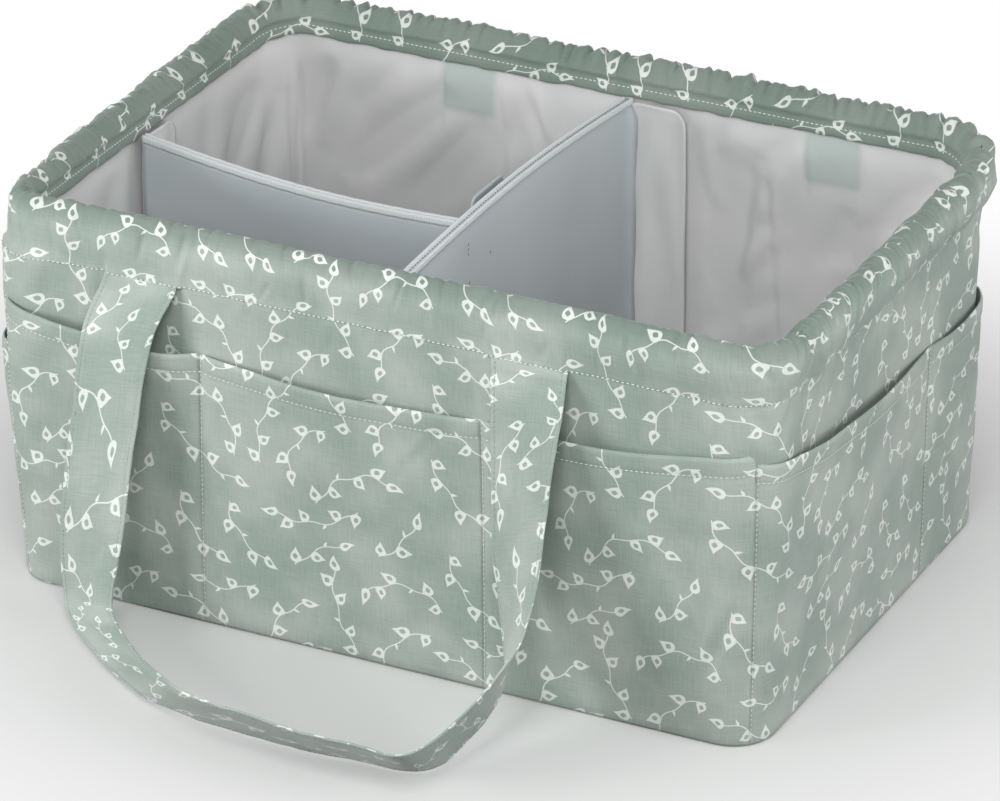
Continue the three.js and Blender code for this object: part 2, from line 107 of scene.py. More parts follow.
# %% Round the wall
COUNT_HEIGHT = 0.100
RUN_X = half_sizes(COUNT_HEIGHT)[0] - corner_radius(COUNT_HEIGHT)
RUN_Y = half_sizes(COUNT_HEIGHT)[1] - corner_radius(COUNT_HEIGHT)
QUARTER = corner_radius(COUNT_HEIGHT) * math.pi / 2
RING = 4 * (RUN_X + RUN_Y + QUARTER)
SIDES = [
    (Vector((0, -1)), Vector((1, 0)), RUN_X),
    (Vector((1, 0)), Vector((0, 1)), RUN_Y),
    (Vector((0, 1)), Vector((-1, 0)), RUN_X),
    (Vector((-1, 0)), Vector((0, -1)), RUN_Y),
]
CORNER = RUN_X + QUARTER / 2
RIGHT_MIDDLE = RUN_X + QUARTER + RUN_Y


def station(u):
    """Where on the outline u is: the corner square's point, the way out, and the dip's share."""
    left = (u + RUN_X) % RING
    for index, (out, along, run) in enumerate(SIDES):
        if left <= 2 * run:
            return out + along * (left / run - 1), out, index % 2
        left -= 2 * run
        if left <= QUARTER:
            turn = left / QUARTER
            angle = turn * math.pi / 2
            way = out * math.cos(angle) + along * math.sin(angle)
            return out + along, way, turn if index % 2 == 0 else 1 - turn
        left -= QUARTER
    return SIDES[0][0] - SIDES[0][1], SIDES[0][0], 0


def wall(u, z, out=0.0):
    """The point at distance u round the wall and height z, out metres outside the cloth."""
    square, way, dip = station(u)
    x, y = half_sizes(z)
    radius = corner_radius(max(z, 0.0))
    push = radius + out
    return Vector((
        square.x * (x - radius) + way.x * push,
        square.y * (y - radius) + way.y * push,
        z - RIM_DIP * dip * (z / RIM_HEIGHT) ** 3,
    ))


def short_way(u):
    """The same place as u, counted the shorter way from the middle of the front."""
    return (u + RING / 2) % RING - RING / 2


def corner_share(u):
    """1 at a corner's middle and 0 on the straight runs."""
    near = min(abs(short_way(u - middle)) for middle in CORNERS)
    return smooth(1 - near / QUARTER)


CORNERS = [CORNER, 2 * RIGHT_MIDDLE - CORNER, RING / 2 + CORNER, RING - CORNER]
print(f"the wall is {RING / MM:.0f} mm round")

# %% [markdown]
# Cloth isn't smooth. A crease here is a line on the flat cut with a depth and a width: the
# cloth drops into a narrow valley along it and rolls up beside it, and both fade at the
# line's ends. Four widths away nothing is left of it. A seeded list of creases gives each
# piece its own folds, and a soft noise over the whole gives the slow swell of cloth that
# nothing pulls flat.

# %% Creases
HAND = random.Random(11)
BUCKET = 0.010
CREASE_REACH = 4


def crease_map(lines):
    """The crease lines, filed by how far along they lie so that few are tried at a point."""
    files = {}
    for line in lines:
        u0, _, u1, _, _, width = line
        reach = CREASE_REACH * width
        first, last = min(u0, u1) - reach, max(u0, u1) + reach
        for index in range(math.floor(first / BUCKET), math.floor(last / BUCKET) + 1):
            files.setdefault(index, []).append(line)
    return files


def crease_lift(files, u, v):
    """How far the creases move the cloth at (u, v): down in a valley, up on its roll."""
    lift = 0.0
    for u0, v0, u1, v1, depth, width in files.get(math.floor(u / BUCKET), ()):
        du, dv = u1 - u0, v1 - v0
        length = math.hypot(du, dv)
        along = ((u - u0) * du + (v - v0) * dv) / (length * length)
        if not 0 < along < 1:
            continue
        across = ((u - u0) * dv - (v - v0) * du) / (length * width)
        if abs(across) > CREASE_REACH:
            continue
        fade = math.sin(math.pi * along) ** 0.7
        valley = math.exp(-across * across)
        roll = math.exp(-(((across - 1.6) / 1.1) ** 2))
        lift += depth * fade * (0.6 * roll - valley)
    return lift


def crumple(place):
    """Sharp-edged folds, from -1 in their valleys to about 1."""
    return 3.2 * abs(noise.noise(place)) + 1.2 * abs(noise.noise(place * 2.3)) - 1.0


def round_place(u, v, across, along):
    """A place on a tube in the noise, so that folds of that size go round without a seam."""
    turn = 2 * math.pi * u / RING
    radius = RING / (2 * math.pi * across)
    return Vector((radius * math.cos(turn), radius * math.sin(turn), v / along))


def swell(point, scale, seed=0.0):
    """A soft noise, about -1 to 1, of features that many metres wide."""
    return noise.noise(Vector((point.x + seed, point.y - seed, point.z + 2 * seed)) / scale)


# %% [markdown]
# The colours were read off the cloth as sRGB hex values, and Blender works in linear
# light, so one function turns them. One more function adds a node with its inputs, each
# either a link or a value, and the short ones after it ask for the commonest nodes.

# %% Material helpers


def linear(hex_colour):
    parts = [int(hex_colour[i:i + 2], 16) / 255 for i in (1, 3, 5)]
    return (*[p / 12.92 if p <= 0.04045 else ((p + 0.055) / 1.055) ** 2.4 for p in parts], 1.0)


def add(tree, kind, inputs=(), out=0, **settings):
    """Adds one node and gives its output number out. inputs is a list, or a dict by name."""
    made = tree.nodes.new(kind)
    for key, value in settings.items():
        setattr(made, key, value)
    for key, value in inputs.items() if isinstance(inputs, dict) else enumerate(inputs):
        if isinstance(value, bpy.types.NodeSocket):
            tree.links.new(value, made.inputs[key])
        elif value is not None:
            made.inputs[key].default_value = value
    return made.outputs[out] if made.outputs else made


def maths(tree, operation, *inputs):
    return add(tree, "ShaderNodeMath", inputs, operation=operation)


def mix(tree, share, first, second):
    """The first colour where share is 0, and the second where it is 1."""
    return add(tree, "ShaderNodeMix", {0: share, 6: first, 7: second}, out=2, data_type="RGBA")


def soft_range(tree, value, low, high):
    """0 at low and 1 at high, with a soft start and end."""
    return add(
        tree, "ShaderNodeMapRange", [value, low, high, 0.0, 1.0], interpolation_type="SMOOTHSTEP",
    )


def seen_directly(tree):
    """1 for what the camera sees straight, in a gloss or through something clear."""
    path = tree.nodes.new("ShaderNodeLightPath").outputs
    seen = maths(tree, "MAXIMUM", path["Is Camera Ray"], path["Is Glossy Ray"])
    return maths(tree, "MAXIMUM", seen, path["Is Transmission Ray"])


def start_group(name, **inputs):
    """A node group that gives out a distance, with the names and kinds of its inputs."""
    tree = bpy.data.node_groups.new(name, "ShaderNodeTree")
    for label, kind in inputs.items():
        tree.interface.new_socket(label, in_out="INPUT", socket_type=f"NodeSocket{kind}")
    tree.interface.new_socket("distance", in_out="OUTPUT", socket_type="NodeSocketFloat")
    return tree, tree.nodes.new("NodeGroupInput").outputs


def start_material(name):
    material = bpy.data.materials.new(name)
    material.use_nodes = True
    tree = material.node_tree
    tree.nodes.clear()
    return material, tree


def finish_material(tree, colour, normal, **values):
    """Ends a material in a Principled shader, with its plain values on its own sockets."""
    inputs = {"Base Color": colour, "Normal": normal}
    inputs.update({key.replace("_", " "): value for key, value in values.items()})
    shader = add(tree, "ShaderNodeBsdfPrincipled", inputs)
    add(tree, "ShaderNodeOutputMaterial", {"Surface": shader})


# %% [markdown]
# The print is a small leafy sprig, a common cotton motif. Its layout here is the script's
# own: fourteen arcs of stem in a tile that repeats. A leaf is a lens with a pointed tip and a
# slit left open in its middle. All of it is drawn with distances, in millimetres on the
# flat cloth, so it stays crisp from near: inside a shape the distance is below zero.

# %% One leaf
LEAF_LENGTH, LEAF_HALF = 9.6, 2.65


def leaf_group():
    """along and across are millimetres from the leaf's foot; width is a share of full."""
    tree, given = start_group("printed_leaf", along="Float", across="Float", width="Float")
    along, across, width = given[:3]
    quick = maths(tree, "MULTIPLY_ADD", width, -1.3, 2.3)
    scaled = maths(tree, "MULTIPLY", along, quick)
    share = add(tree, "ShaderNodeMapRange", [scaled, 0.0, LEAF_LENGTH, 0.0, 1.0])
    skewed = maths(tree, "POWER", share, 0.62)
    turned = maths(tree, "MULTIPLY", skewed, math.pi)
    bow = maths(tree, "SINE", turned)
    left = maths(tree, "SUBTRACT", 1.0, share)
    taper = maths(tree, "POWER", left, 0.55)
    full = maths(tree, "MULTIPLY", bow, taper)
    full = maths(tree, "MULTIPLY", full, 1.2 * LEAF_HALF)
    half = maths(tree, "MULTIPLY", full, width)
    off = maths(tree, "ABSOLUTE", across)
    outside = maths(tree, "SUBTRACT", off, half)
    edge = maths(tree, "ADD", outside, 0.12)
    slit = add(tree, "ShaderNodeMapRange", [share, 0.17, 0.56, 0.0, math.pi])
    slit_bow = maths(tree, "SINE", slit)
    open_share = maths(tree, "MULTIPLY", width, width)
    slit_bow = maths(tree, "MULTIPLY", slit_bow, open_share)
    slit_half = maths(tree, "MULTIPLY_ADD", slit_bow, 1.2, -0.14)
    beside = maths(tree, "SUBTRACT", across, 0.2)
    beside = maths(tree, "ABSOLUTE", beside)
    in_slit = maths(tree, "SUBTRACT", slit_half, beside)
    ring = maths(tree, "MAXIMUM", edge, in_slit)
    add(tree, "NodeGroupOutput", [ring])
    return tree


LEAF = leaf_group()

# %% [markdown]
# A sprig is an arc of stem. Distance along the arc is cut into equal steps, and each step
# holds one leaf, on the left and on the right by turns. Every third leaf is only a bare
# twig, and a last leaf ends the stem. The stem also wavers a little, as a drawn line does.

# %% One sprig
TILE = (140.0, 118.0)
LEAF_STEP = 8.8
LEAF_LEAN = 0.95
LEAF_FOOT = 1.5
STEM_HALF = 0.28


def sprig_group():
    tree, given = start_group(
        "printed_sprig", cloth="Vector", middle="Vector", heading="Float", radius="Float", length="Float",
    )
    cloth_at, middle, heading, radius, length = given[:5]
    moved = add(tree, "ShaderNodeVectorMath", [cloth_at, middle], operation="SUBTRACT")
    high = (TILE[0] / 2, TILE[1] / 2, 1.0)
    low = (-TILE[0] / 2, -TILE[1] / 2, -1.0)
    tiled = add(tree, "ShaderNodeVectorMath", [moved, high, low], operation="WRAP")
    back = maths(tree, "MULTIPLY", heading, -1.0)
    local = add(tree, "ShaderNodeVectorRotate", {"Vector": tiled, "Angle": back}, rotation_type="Z_AXIS")
    axes = tree.nodes.new("ShaderNodeSeparateXYZ")
    tree.links.new(local, axes.inputs[0])
    x, y = axes.outputs[0], axes.outputs[1]
    below = maths(tree, "SUBTRACT", radius, y)
    square = maths(tree, "MULTIPLY", below, below)
    square = maths(tree, "MULTIPLY_ADD", x, x, square)
    reach = maths(tree, "SQRT", square)
    sign = maths(tree, "SIGN", radius)
    signed_x = maths(tree, "MULTIPLY", x, sign)
    signed_below = maths(tree, "MULTIPLY", below, sign)
    turn = maths(tree, "ARCTAN2", signed_x, signed_below)
    along = maths(tree, "MULTIPLY", turn, radius)
    signed_reach = maths(tree, "MULTIPLY", reach, sign)
    across = maths(tree, "SUBTRACT", radius, signed_reach)
    start = maths(tree, "MULTIPLY_ADD", length, 0.5, along)
    phase = maths(tree, "MULTIPLY", start, math.pi / LEAF_STEP)
    waver = maths(tree, "COSINE", phase)
    across = maths(tree, "MULTIPLY_ADD", waver, -0.9, across)
    off = maths(tree, "ABSOLUTE", across)
    stem = maths(tree, "SUBTRACT", off, STEM_HALF)
    past = maths(tree, "SUBTRACT", start, length)
    before = maths(tree, "MULTIPLY", start, -1.0)
    ends = maths(tree, "MAXIMUM", past, before)
    stem = maths(tree, "MAXIMUM", stem, ends)
    steps = maths(tree, "DIVIDE", start, LEAF_STEP)
    index = maths(tree, "FLOOR", steps)
    within = maths(tree, "SUBTRACT", steps, index)
    foot = maths(tree, "MULTIPLY_ADD", within, LEAF_STEP, -LEAF_FOOT)
    odd = maths(tree, "FLOORED_MODULO", index, 2.0)
    side = maths(tree, "MULTIPLY_ADD", odd, -2.0, 1.0)
    mirrored = maths(tree, "MULTIPLY", across, side)
    leaning = maths(tree, "MULTIPLY", mirrored, math.sin(LEAF_LEAN))
    leaf_along = maths(tree, "MULTIPLY_ADD", foot, math.cos(LEAF_LEAN), leaning)
    leaning = maths(tree, "MULTIPLY", mirrored, math.cos(LEAF_LEAN))
    leaf_across = maths(tree, "MULTIPLY_ADD", foot, -math.sin(LEAF_LEAN), leaning)
    third = maths(tree, "FLOORED_MODULO", index, 3.0)
    bare = maths(tree, "COMPARE", third, 2.0, 0.1)
    width = maths(tree, "MULTIPLY_ADD", bare, -0.72, 1.0)
    leaf = add(tree, "ShaderNodeGroup", [leaf_along, leaf_across, width], node_tree=LEAF)
    outside = maths(tree, "GREATER_THAN", ends, 0.0)
    kept_leaf = maths(tree, "MULTIPLY_ADD", outside, 10.0, leaf)
    tip = add(tree, "ShaderNodeGroup", [past, across, 1.0], node_tree=LEAF)
    both = maths(tree, "MINIMUM", kept_leaf, tip)
    whole = maths(tree, "MINIMUM", stem, both)
    add(tree, "NodeGroupOutput", [whole])
    return tree


SPRIG = sprig_group()

# %% [markdown]
# ** Printed cotton.** A plain-woven cotton poplin, reactive dyed sage with the sprigs left
# pale. Broad random patches are painted paler and greyer, with deeper sage between them:
# painted light and shade for the uneven light on the cloth. The yarn is uneven, so thin
# streaks of lighter and darker thread run both ways. A thread is about 0.2 mm, too fine for
# the picture, so the streaks are drawn 0.6 mm apart.
# The crown and inner face of the gathered rim are painted a deeper sage: painted shade, for
# the shade of folds finer than the mesh can show and for the dimmer light there. The
# vertices carry its share in the attribute named shadow.
# Cotton scatters nearly all its light, with a faint bloom of loose fibre at the edges.

# %% Printed cotton
SAGE, SAGE_DEEP, SPRIG_WHITE = "#B4BDB6", "#80948A", "#F1F5F1"
SAGE_PAINTED_SHADE = "#5B6E63"
STREAK = 0.6
SPRIGS = [
    ((18, 83), 3.12, 24, 5),
    ((67, 58), -2.91, -24, 3),
    ((46, 13), -0.74, 50, 6),
    ((46, 89), -0.98, 38, 4),
    ((128, 14), 0.41, -30, 5),
    ((112, 90), 0.58, -50, 3),
    ((86, 40), 1.20, -38, 6),
    ((13, 52), -2.35, 30, 4),
    ((114, 107), -2.85, -50, 5),
    ((70, 90), -0.97, 30, 4),
    ((15, 104), 0.85, 70, 3),
    ((122, 59), 1.88, -50, 5),
    ((104, 30), -2.21, 24, 4),
    ((61, 37), 2.29, 38, 6),
]
HAND_DRAWN = 6.0


def cloth_millimetres(tree, turn=0.0):
    """The piece's UV map is its flat cut in metres; this gives it in millimetres, turned."""
    cut = tree.nodes.new("ShaderNodeUVMap")
    cut.uv_map = "cut"
    return add(
        tree, "ShaderNodeMapping",
        {"Vector": cut.outputs[0], "Rotation": (0.0, 0.0, turn), "Scale": (1 / MM, 1 / MM, 1.0)},
    )


def yarn(tree, cloth_at, spacing, length):
    """Streaks of uneven yarn along both ways of the weave, from 0 to 1."""
    streaks = []
    for size in ((1 / length, 1 / spacing, 1.0), (1 / spacing, 1 / length, 1.0)):
        stretched = add(tree, "ShaderNodeVectorMath", [cloth_at, size], operation="MULTIPLY")
        streaks.append(add(tree, "ShaderNodeTexNoise", {"Vector": stretched, "Scale": 1.0, "Detail": 3.0}))
    return maths(tree, "ADD", *streaks)


def printed_cotton():
    material, tree = start_material("cotton_poplin_sprig_print")
    at = cloth_millimetres(tree)
    stray = add(tree, "ShaderNodeTexNoise", {"Vector": at, "Scale": 0.028, "Detail": 0.0}, out=1)
    stray = add(tree, "ShaderNodeVectorMath", [stray, (0.5, 0.5, 0.5)], operation="SUBTRACT")
    stray = add(tree, "ShaderNodeVectorMath", {0: stray, "Scale": HAND_DRAWN}, operation="SCALE")
    drawn_at = add(tree, "ShaderNodeVectorMath", [at, stray], operation="ADD")
    nearest = None
    for (x, y), heading, radius, leaves in SPRIGS:
        inputs = [drawn_at, (x, y, 0), heading, radius, leaves * LEAF_STEP]
        sprig = add(tree, "ShaderNodeGroup", inputs, node_tree=SPRIG)
        nearest = sprig if nearest is None else maths(tree, "MINIMUM", nearest, sprig)
    ink = soft_range(tree, nearest, 0.14, -0.14)
    threads = yarn(tree, at, STREAK, 12.0)
    # Painted light and shade: broad random patches push the ground towards the paler, greyer sage.
    cloudy = add(tree, "ShaderNodeTexNoise", {"Vector": at, "Scale": 0.019, "Detail": 2.0})
    cloudy = soft_range(tree, cloudy, 0.36, 0.64)
    shade = add(tree, "ShaderNodeMapRange", [threads, 0.66, 1.34, 0.0, 1.0])
    shade = maths(tree, "MULTIPLY_ADD", shade, 0.42, 0.08)
    shade = maths(tree, "MULTIPLY_ADD", cloudy, 0.5, shade)
    ground = mix(tree, shade, linear(SAGE_DEEP), linear(SAGE))
    # Painted shade: the rim's crown and inner face take a share of deeper sage from the attribute named
    # shadow.
    painted_shade = add(tree, "ShaderNodeAttribute", attribute_name="shadow", out=2)
    painted_shade = maths(tree, "MULTIPLY", painted_shade, 0.6)
    ground = mix(tree, painted_shade, ground, linear(SAGE_PAINTED_SHADE))
    # The print is dimmer where the ground is darker: along the yarn streaks as worn print, and in the broad
    # patches as painted shade.
    ink_wear_and_shade = maths(tree, "MULTIPLY_ADD", shade, 0.30, 0.62)
    ink_wear_and_shade = maths(tree, "MULTIPLY", ink_wear_and_shade, ink)
    colour = mix(tree, ink_wear_and_shade, ground, linear(SPRIG_WHITE))
    bump = add(tree, "ShaderNodeBump", {"Strength": 0.35, "Distance": 0.12 * MM, "Height": threads})
    finish_material(
        tree, colour, bump, Roughness=0.7, Specular_IOR_Level=0.5, Sheen_Weight=0.3, Sheen_Roughness=0.5,
    )
    return material


COTTON = printed_cotton()

# %% [markdown]
# **Lining and divider cloth.** A filament polyester taffeta, calendered smooth, so it has a
# soft gloss and a very fine rib. Where the strap ends are sewn behind the lining, the sage
# cotton shows through; each lining vertex carries how much, in the attribute named shadow.

# %% Taffeta
LINING_GREY, LINING_SHADOW = "#E2E0E0", "#BCC8C3"
DIVIDER_GREY, DIVIDER_DEEP = "#C0C8CB", "#B0B9BD"


def taffeta(name, light, deep, roughness, attribute=None):
    material, tree = start_material(name)
    at = cloth_millimetres(tree)
    threads = yarn(tree, at, 0.8, 40.0)
    cloudy = add(tree, "ShaderNodeTexNoise", {"Vector": at, "Scale": 0.02, "Detail": 2.0})
    share = add(tree, "ShaderNodeMapRange", [cloudy, 0.3, 0.7, 0.0, 0.35])
    if attribute:
        seen = add(tree, "ShaderNodeAttribute", attribute_name=attribute, out=2)
        share = maths(tree, "MAXIMUM", share, seen)
    colour = mix(tree, share, linear(light), linear(deep))
    bump = add(tree, "ShaderNodeBump", {"Strength": 0.18, "Distance": 0.08 * MM, "Height": threads})
    finish_material(
        tree, colour, bump, Roughness=roughness, Specular_IOR_Level=0.35,
        Sheen_Weight=0.1, Sheen_Roughness=0.4,
    )
    return material


LINING = taffeta("polyester_taffeta_lining", LINING_GREY, LINING_SHADOW, 0.62, "shadow")
DIVIDER = taffeta("polyester_taffeta_divider", DIVIDER_GREY, DIVIDER_DEEP, 0.5)

# %% [markdown]
# **Small finishes.** The dividers' top edges are bound in a ribbed grosgrain tape. The
# sewing thread is a twisted polyester. Hook tape is a mat of stiff bristles and loop tape a
# brushed pile, so both are matt and grainy. The boards are greyboard, pressed from pulp,
# and the elastic is a woven band whose ribs run across it.

# %% Ribbed and grainy finishes


def ribbed(name, light, deep, pitch, roughness, turn=0.0):
    material, tree = start_material(name)
    at = cloth_millimetres(tree, turn)
    ribs = add(tree, "ShaderNodeTexWave", {"Vector": at, "Scale": math.pi / (10 * pitch)}, out=1)
    colour = mix(tree, ribs, linear(deep), linear(light))
    bump = add(tree, "ShaderNodeBump", {"Strength": 0.5, "Distance": 0.2 * MM, "Height": ribs})
    finish_material(tree, colour, bump, Roughness=roughness, Specular_IOR_Level=0.3)
    return material


def grainy(name, light, deep, grain, roughness, depth):
    material, tree = start_material(name)
    here = add(tree, "ShaderNodeTexCoord", out=3)
    size = {"Vector": here, "Scale": 1 / (grain * MM), "Detail": 3.0, "Roughness": 0.6}
    specks = add(tree, "ShaderNodeTexNoise", size)
    share = add(tree, "ShaderNodeMapRange", [specks, 0.35, 0.65, 0.0, 1.0])
    colour = mix(tree, share, linear(deep), linear(light))
    bump = add(tree, "ShaderNodeBump", {"Strength": 0.6, "Distance": depth * MM, "Height": specks})
    finish_material(tree, colour, bump, Roughness=roughness, Specular_IOR_Level=0.25)
    return material


# The binding's near white is partly the tape's own pale grey and partly a painted highlight for the bright
# lines along the dividers' tops.
BINDING = ribbed("grosgrain_binding", "#EDF0F1", "#D6DCDE", 0.9, 0.6)
ELASTIC = ribbed("woven_elastic", "#E4E4E0", "#C9C9C4", 1.2, 0.7)
THREAD = grainy("polyester_sewing_thread", "#EDF3EE", "#D5DFD8", 0.6, 0.55, 0.1)
SAGE_THREAD = grainy("sage_sewing_thread", "#B7C3BA", "#9CAB9F", 0.6, 0.55, 0.1)
GREY_THREAD = grainy("grey_sewing_thread", "#7C8285", "#5E6467", 0.6, 0.55, 0.1)
TAPE = grainy("brushed_hook_and_loop_tape", "#B4BABC", "#9BA2A5", 0.7, 0.95, 0.35)
BOARD = grainy("pressed_greyboard", "#BBB09A", "#A3977F", 1.6, 0.9, 0.1)

# %% [markdown]
# Every cloth piece goes through one function. A grid is the flat cut. place(s, t) says where
# each of its points lies when the piece is sewn, cut(s, t) gives the same point on the flat
# cloth, and Solidify gives the cloth its thickness, inwards unless offset says otherwise.
# A ring's two ends meet, so their doubles are merged.

# %% Cloth from a flat grid
CLOTH = 0.7 * MM


def finish_mesh(name, mesh_data, material, body, nodes=()):
    mesh = bpy.data.meshes.new(name)
    mesh_data.to_mesh(mesh)
    mesh_data.free()
    mesh.materials.append(material)
    mesh.polygons.foreach_set("use_smooth", [True] * len(mesh.polygons))
    piece = bpy.data.objects.new(name, mesh)
    bpy.context.scene.collection.objects.link(piece)
    if isinstance(body, str):
        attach(piece, body)
    if nodes:
        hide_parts(*nodes)
    return piece


def cloth(
    name, size, place, cut, material, body="caddy", nodes=(), ring=False, tube=False,
    thickness=CLOTH, offset=-1.0, shadow=None,
):
    made = bmesh.new()
    uv = made.loops.layers.uv.new("cut")
    shade = made.verts.layers.float.new("shadow") if shadow else None
    bmesh.ops.create_grid(made, x_segments=size[0], y_segments=size[1], size=0.5)
    at = {vert: (vert.co.x + 0.5, vert.co.y + 0.5) for vert in made.verts}
    for face in made.faces:
        for loop in face.loops:
            loop[uv].uv = cut(*at[loop.vert])
    for vert, (s, t) in at.items():
        vert.co = place(s, t)
        if shadow:
            vert[shade] = shadow(s, t)
    if ring or tube:
        bmesh.ops.remove_doubles(made, verts=made.verts, dist=0.001 * MM)
    if tube:
        open_edges = [edge for edge in made.edges if edge.is_boundary]
        bmesh.ops.holes_fill(made, edges=open_edges, sides=0)
        bmesh.ops.recalc_face_normals(made, faces=made.faces)
    piece = finish_mesh(name, made, material, body, nodes)
    if thickness:
        modifier = piece.modifiers.new("cloth_thickness", "SOLIDIFY")
        modifier.thickness = thickness
        modifier.offset = offset
    return piece


def grid_size(width, height, spacing):
    return max(2, round(width / spacing)), max(2, round(height / spacing))


# %% [markdown]
# **Outer wall.** One band of cotton goes all round, from under the base to the rim. Just
# under the rim's seam the elastic draws it in, so short creases hang from the seam there.
# Lower down, behind the pockets, the board holds it flat.

# %% How hard the elastic gathers


def tightness(u):
    """How hard the rim is gathered here: least along the front, most at the corners."""
    away = abs(short_way(u))
    return lerp(0.45, 0.9, smooth((away - RUN_X) / QUARTER)) + 0.45 * corner_share(u)


def gathered(u, v, seed):
    """Folds across a gathered seam, finer at the corners."""
    tight = corner_share(u)
    wide = crumple(round_place(u, v + seed, 10 * MM, 60 * MM)) if tight < 1 else 0.0
    fine = crumple(round_place(u, v + seed, 5 * MM, 45 * MM)) if tight > 0 else 0.0
    return (1 - tight) * wide + tight * fine


def ring_table(u, values):
    """A value that changes smoothly round the caddy, from values at equal steps of it."""
    place = (u % RING) / RING * len(values)
    index = int(place)
    return lerp(values[index % len(values)], values[(index + 1) % len(values)], smooth(place - index))


# %% Outer wall


def seam_creases(top, spacing, depth, reach):
    """Short creases that hang from a gathered seam, all the way round."""
    lines = []
    u = -RING / 2
    while u < RING / 2:
        tight = corner_share(u)
        length = reach * HAND.uniform(0.35, 1.0)
        lean = HAND.uniform(-0.35, 0.35) * length
        deep = depth * HAND.uniform(0.3, 1.0) * (1 + 0.3 * tight)
        lines.append((u, top + 1.5 * MM, u + lean, top - length, deep, HAND.uniform(1.4, 3.2) * MM))
        u += spacing * HAND.uniform(0.5, 1.5) * (1 - 0.45 * tight)
    return lines


WALL_CREASES = crease_map(seam_creases(CASING_SEAM, 24 * MM, 1.1 * MM, 34 * MM))
SIDE_SEAM = RIGHT_MIDDLE + 0.056
HELD_FLAT_TO, LOOSE_OVER = 0.120, 0.035


def corner_belly(u, z):
    """The front left corner has no board and sags outwards, most of all near the top."""
    away = short_way(u + CORNER)
    return 5.5 * MM * smooth(z / 0.120) * math.exp(-((away / (34 * MM)) ** 2))


def wall_out(u, z):
    """How far the outer cloth stands off the board."""
    below = CASING_SEAM - z
    free = smooth((z - HELD_FLAT_TO) / LOOSE_OVER)
    at = wall(u, z)
    out = 0.2 * MM + (1.6 * MM * (swell(at, 0.055, 3.1) + 0.4) + 0.7 * MM * swell(at, 0.026, 8.8)) * free
    out += 0.8 * MM * tightness(u) * math.exp(-below / (14 * MM)) * gathered(u - 0.25 * below, z, 0.4)
    out += 0.5 * MM * math.exp(-((below / (9 * MM)) ** 2)) + corner_belly(u, z)
    out += crease_lift(WALL_CREASES, short_way(u), z) * free
    for seam in (SIDE_SEAM, SIDE_SEAM + RING / 2):
        gap = short_way(u - seam) / MM
        out -= 0.9 * MM * math.exp(-gap * gap)
    return max(out, 0.0)


def wall_height(t):
    return CASING_SEAM * (1 - (1 - t) ** 1.7)


outer_wall = cloth(
    "outer_wall", grid_size(RING, 0.110, 2.0 * MM),
    lambda s, t: wall((s - 0.5) * RING, wall_height(t), wall_out((s - 0.5) * RING, wall_height(t))),
    lambda s, t: ((s - 0.5) * RING, wall_height(t)),
    COTTON, ring=True,
    nodes=["outer_front", "outer_right", "outer_back", "outer_left"],
)
print("outer wall:", len(outer_wall.data.vertices), "vertices")

# %% [markdown]
# **Gathered rim.** The cotton goes on over the wall's top and is sewn down inside, and the
# channel between the two seams holds the elastic. In section it is a soft fold: out and up
# from the outer seam, over the crown and down to the hem. The elastic shortens it, so it
# puckers in creases across the fold, few on the straight runs and many at the corners.

# %% Section of the rim
SECTION = [
    Vector((0.9, 174.2)), Vector((1.7, 178.5)), Vector((2.5, 185.5)), Vector((2.3, 193.0)),
    Vector((1.0, 199.2)), Vector((-1.7, 203.4)), Vector((-5.2, 203.4)), Vector((-8.0, 199.6)),
    Vector((-8.7, 196.2)), Vector((-7.7, 194.0)), Vector((-8.9, 191.6)), Vector((-9.2, 187.0)),
]
PLUMP = [0.0, 0.4, 2.6, 4.2, 5.0, 6.0, 7.0, 7.4, 7.0, 7.0, 6.6, 5.0, 0.6, 0.0]
HEM_SEAM = 0.90
RIM_INNERMOST = -10.7


def curve_through(points, share):
    """A Catmull-Rom curve through the points, spaced by their number."""
    place = min(max(share, 0.0), 1.0) * (len(points) - 1)
    index = min(int(place), len(points) - 2)
    f = place - index
    b, c = points[index], points[index + 1]
    a = points[index - 1] if index else b * 2 - c
    d = points[index + 2] if index + 2 < len(points) else c * 2 - b
    return (b * 2 + (c - a) * f + (a * 2 - b * 5 + c * 4 - d) * f**2 + (b * 3 - c * 3 + d - a) * f**3) / 2


def even_rows(points, rows):
    """The curve's points at equal distances, with how far along each lies."""
    fine = [curve_through(points, step / 400) for step in range(401)]
    travel = [0.0]
    for a, b in zip(fine, fine[1:]):
        travel.append(travel[-1] + (b - a).length)
    found, index = [], 0
    for row in range(rows + 1):
        goal = travel[-1] * row / rows
        while index < len(fine) - 2 and travel[index + 1] < goal:
            index += 1
        f = (goal - travel[index]) / max(travel[index + 1] - travel[index], 1e-9)
        found.append(fine[index].lerp(fine[index + 1], f))
    return found, travel[-1]


RIM_ROWS = 42
RIM_SECTION, RIM_CLOTH = even_rows(SECTION, RIM_ROWS)
RIM_CLOTH *= MM
print(f"the casing's cloth is {RIM_CLOTH / MM:.0f} mm from seam to hem")

# %% Gathers of the rim


def rim_gathers():
    """Single deeper creases among the gathers, slanting this way and that."""
    lines = []
    u = -RING / 2
    while u < RING / 2:
        tight = tightness(u)
        first = HAND.choice((-0.002, 0.003, 0.007, 0.012))
        last = first + HAND.uniform(0.012, 0.024)
        lean = HAND.uniform(-0.009, 0.009)
        deep = HAND.uniform(0.6, 1.7) * MM
        lines.append((u, first, u + lean, last, deep, HAND.uniform(1.0, 2.0) * MM))
        u += HAND.uniform(12, 36) * MM * (1.25 - 0.6 * tight)
    return lines


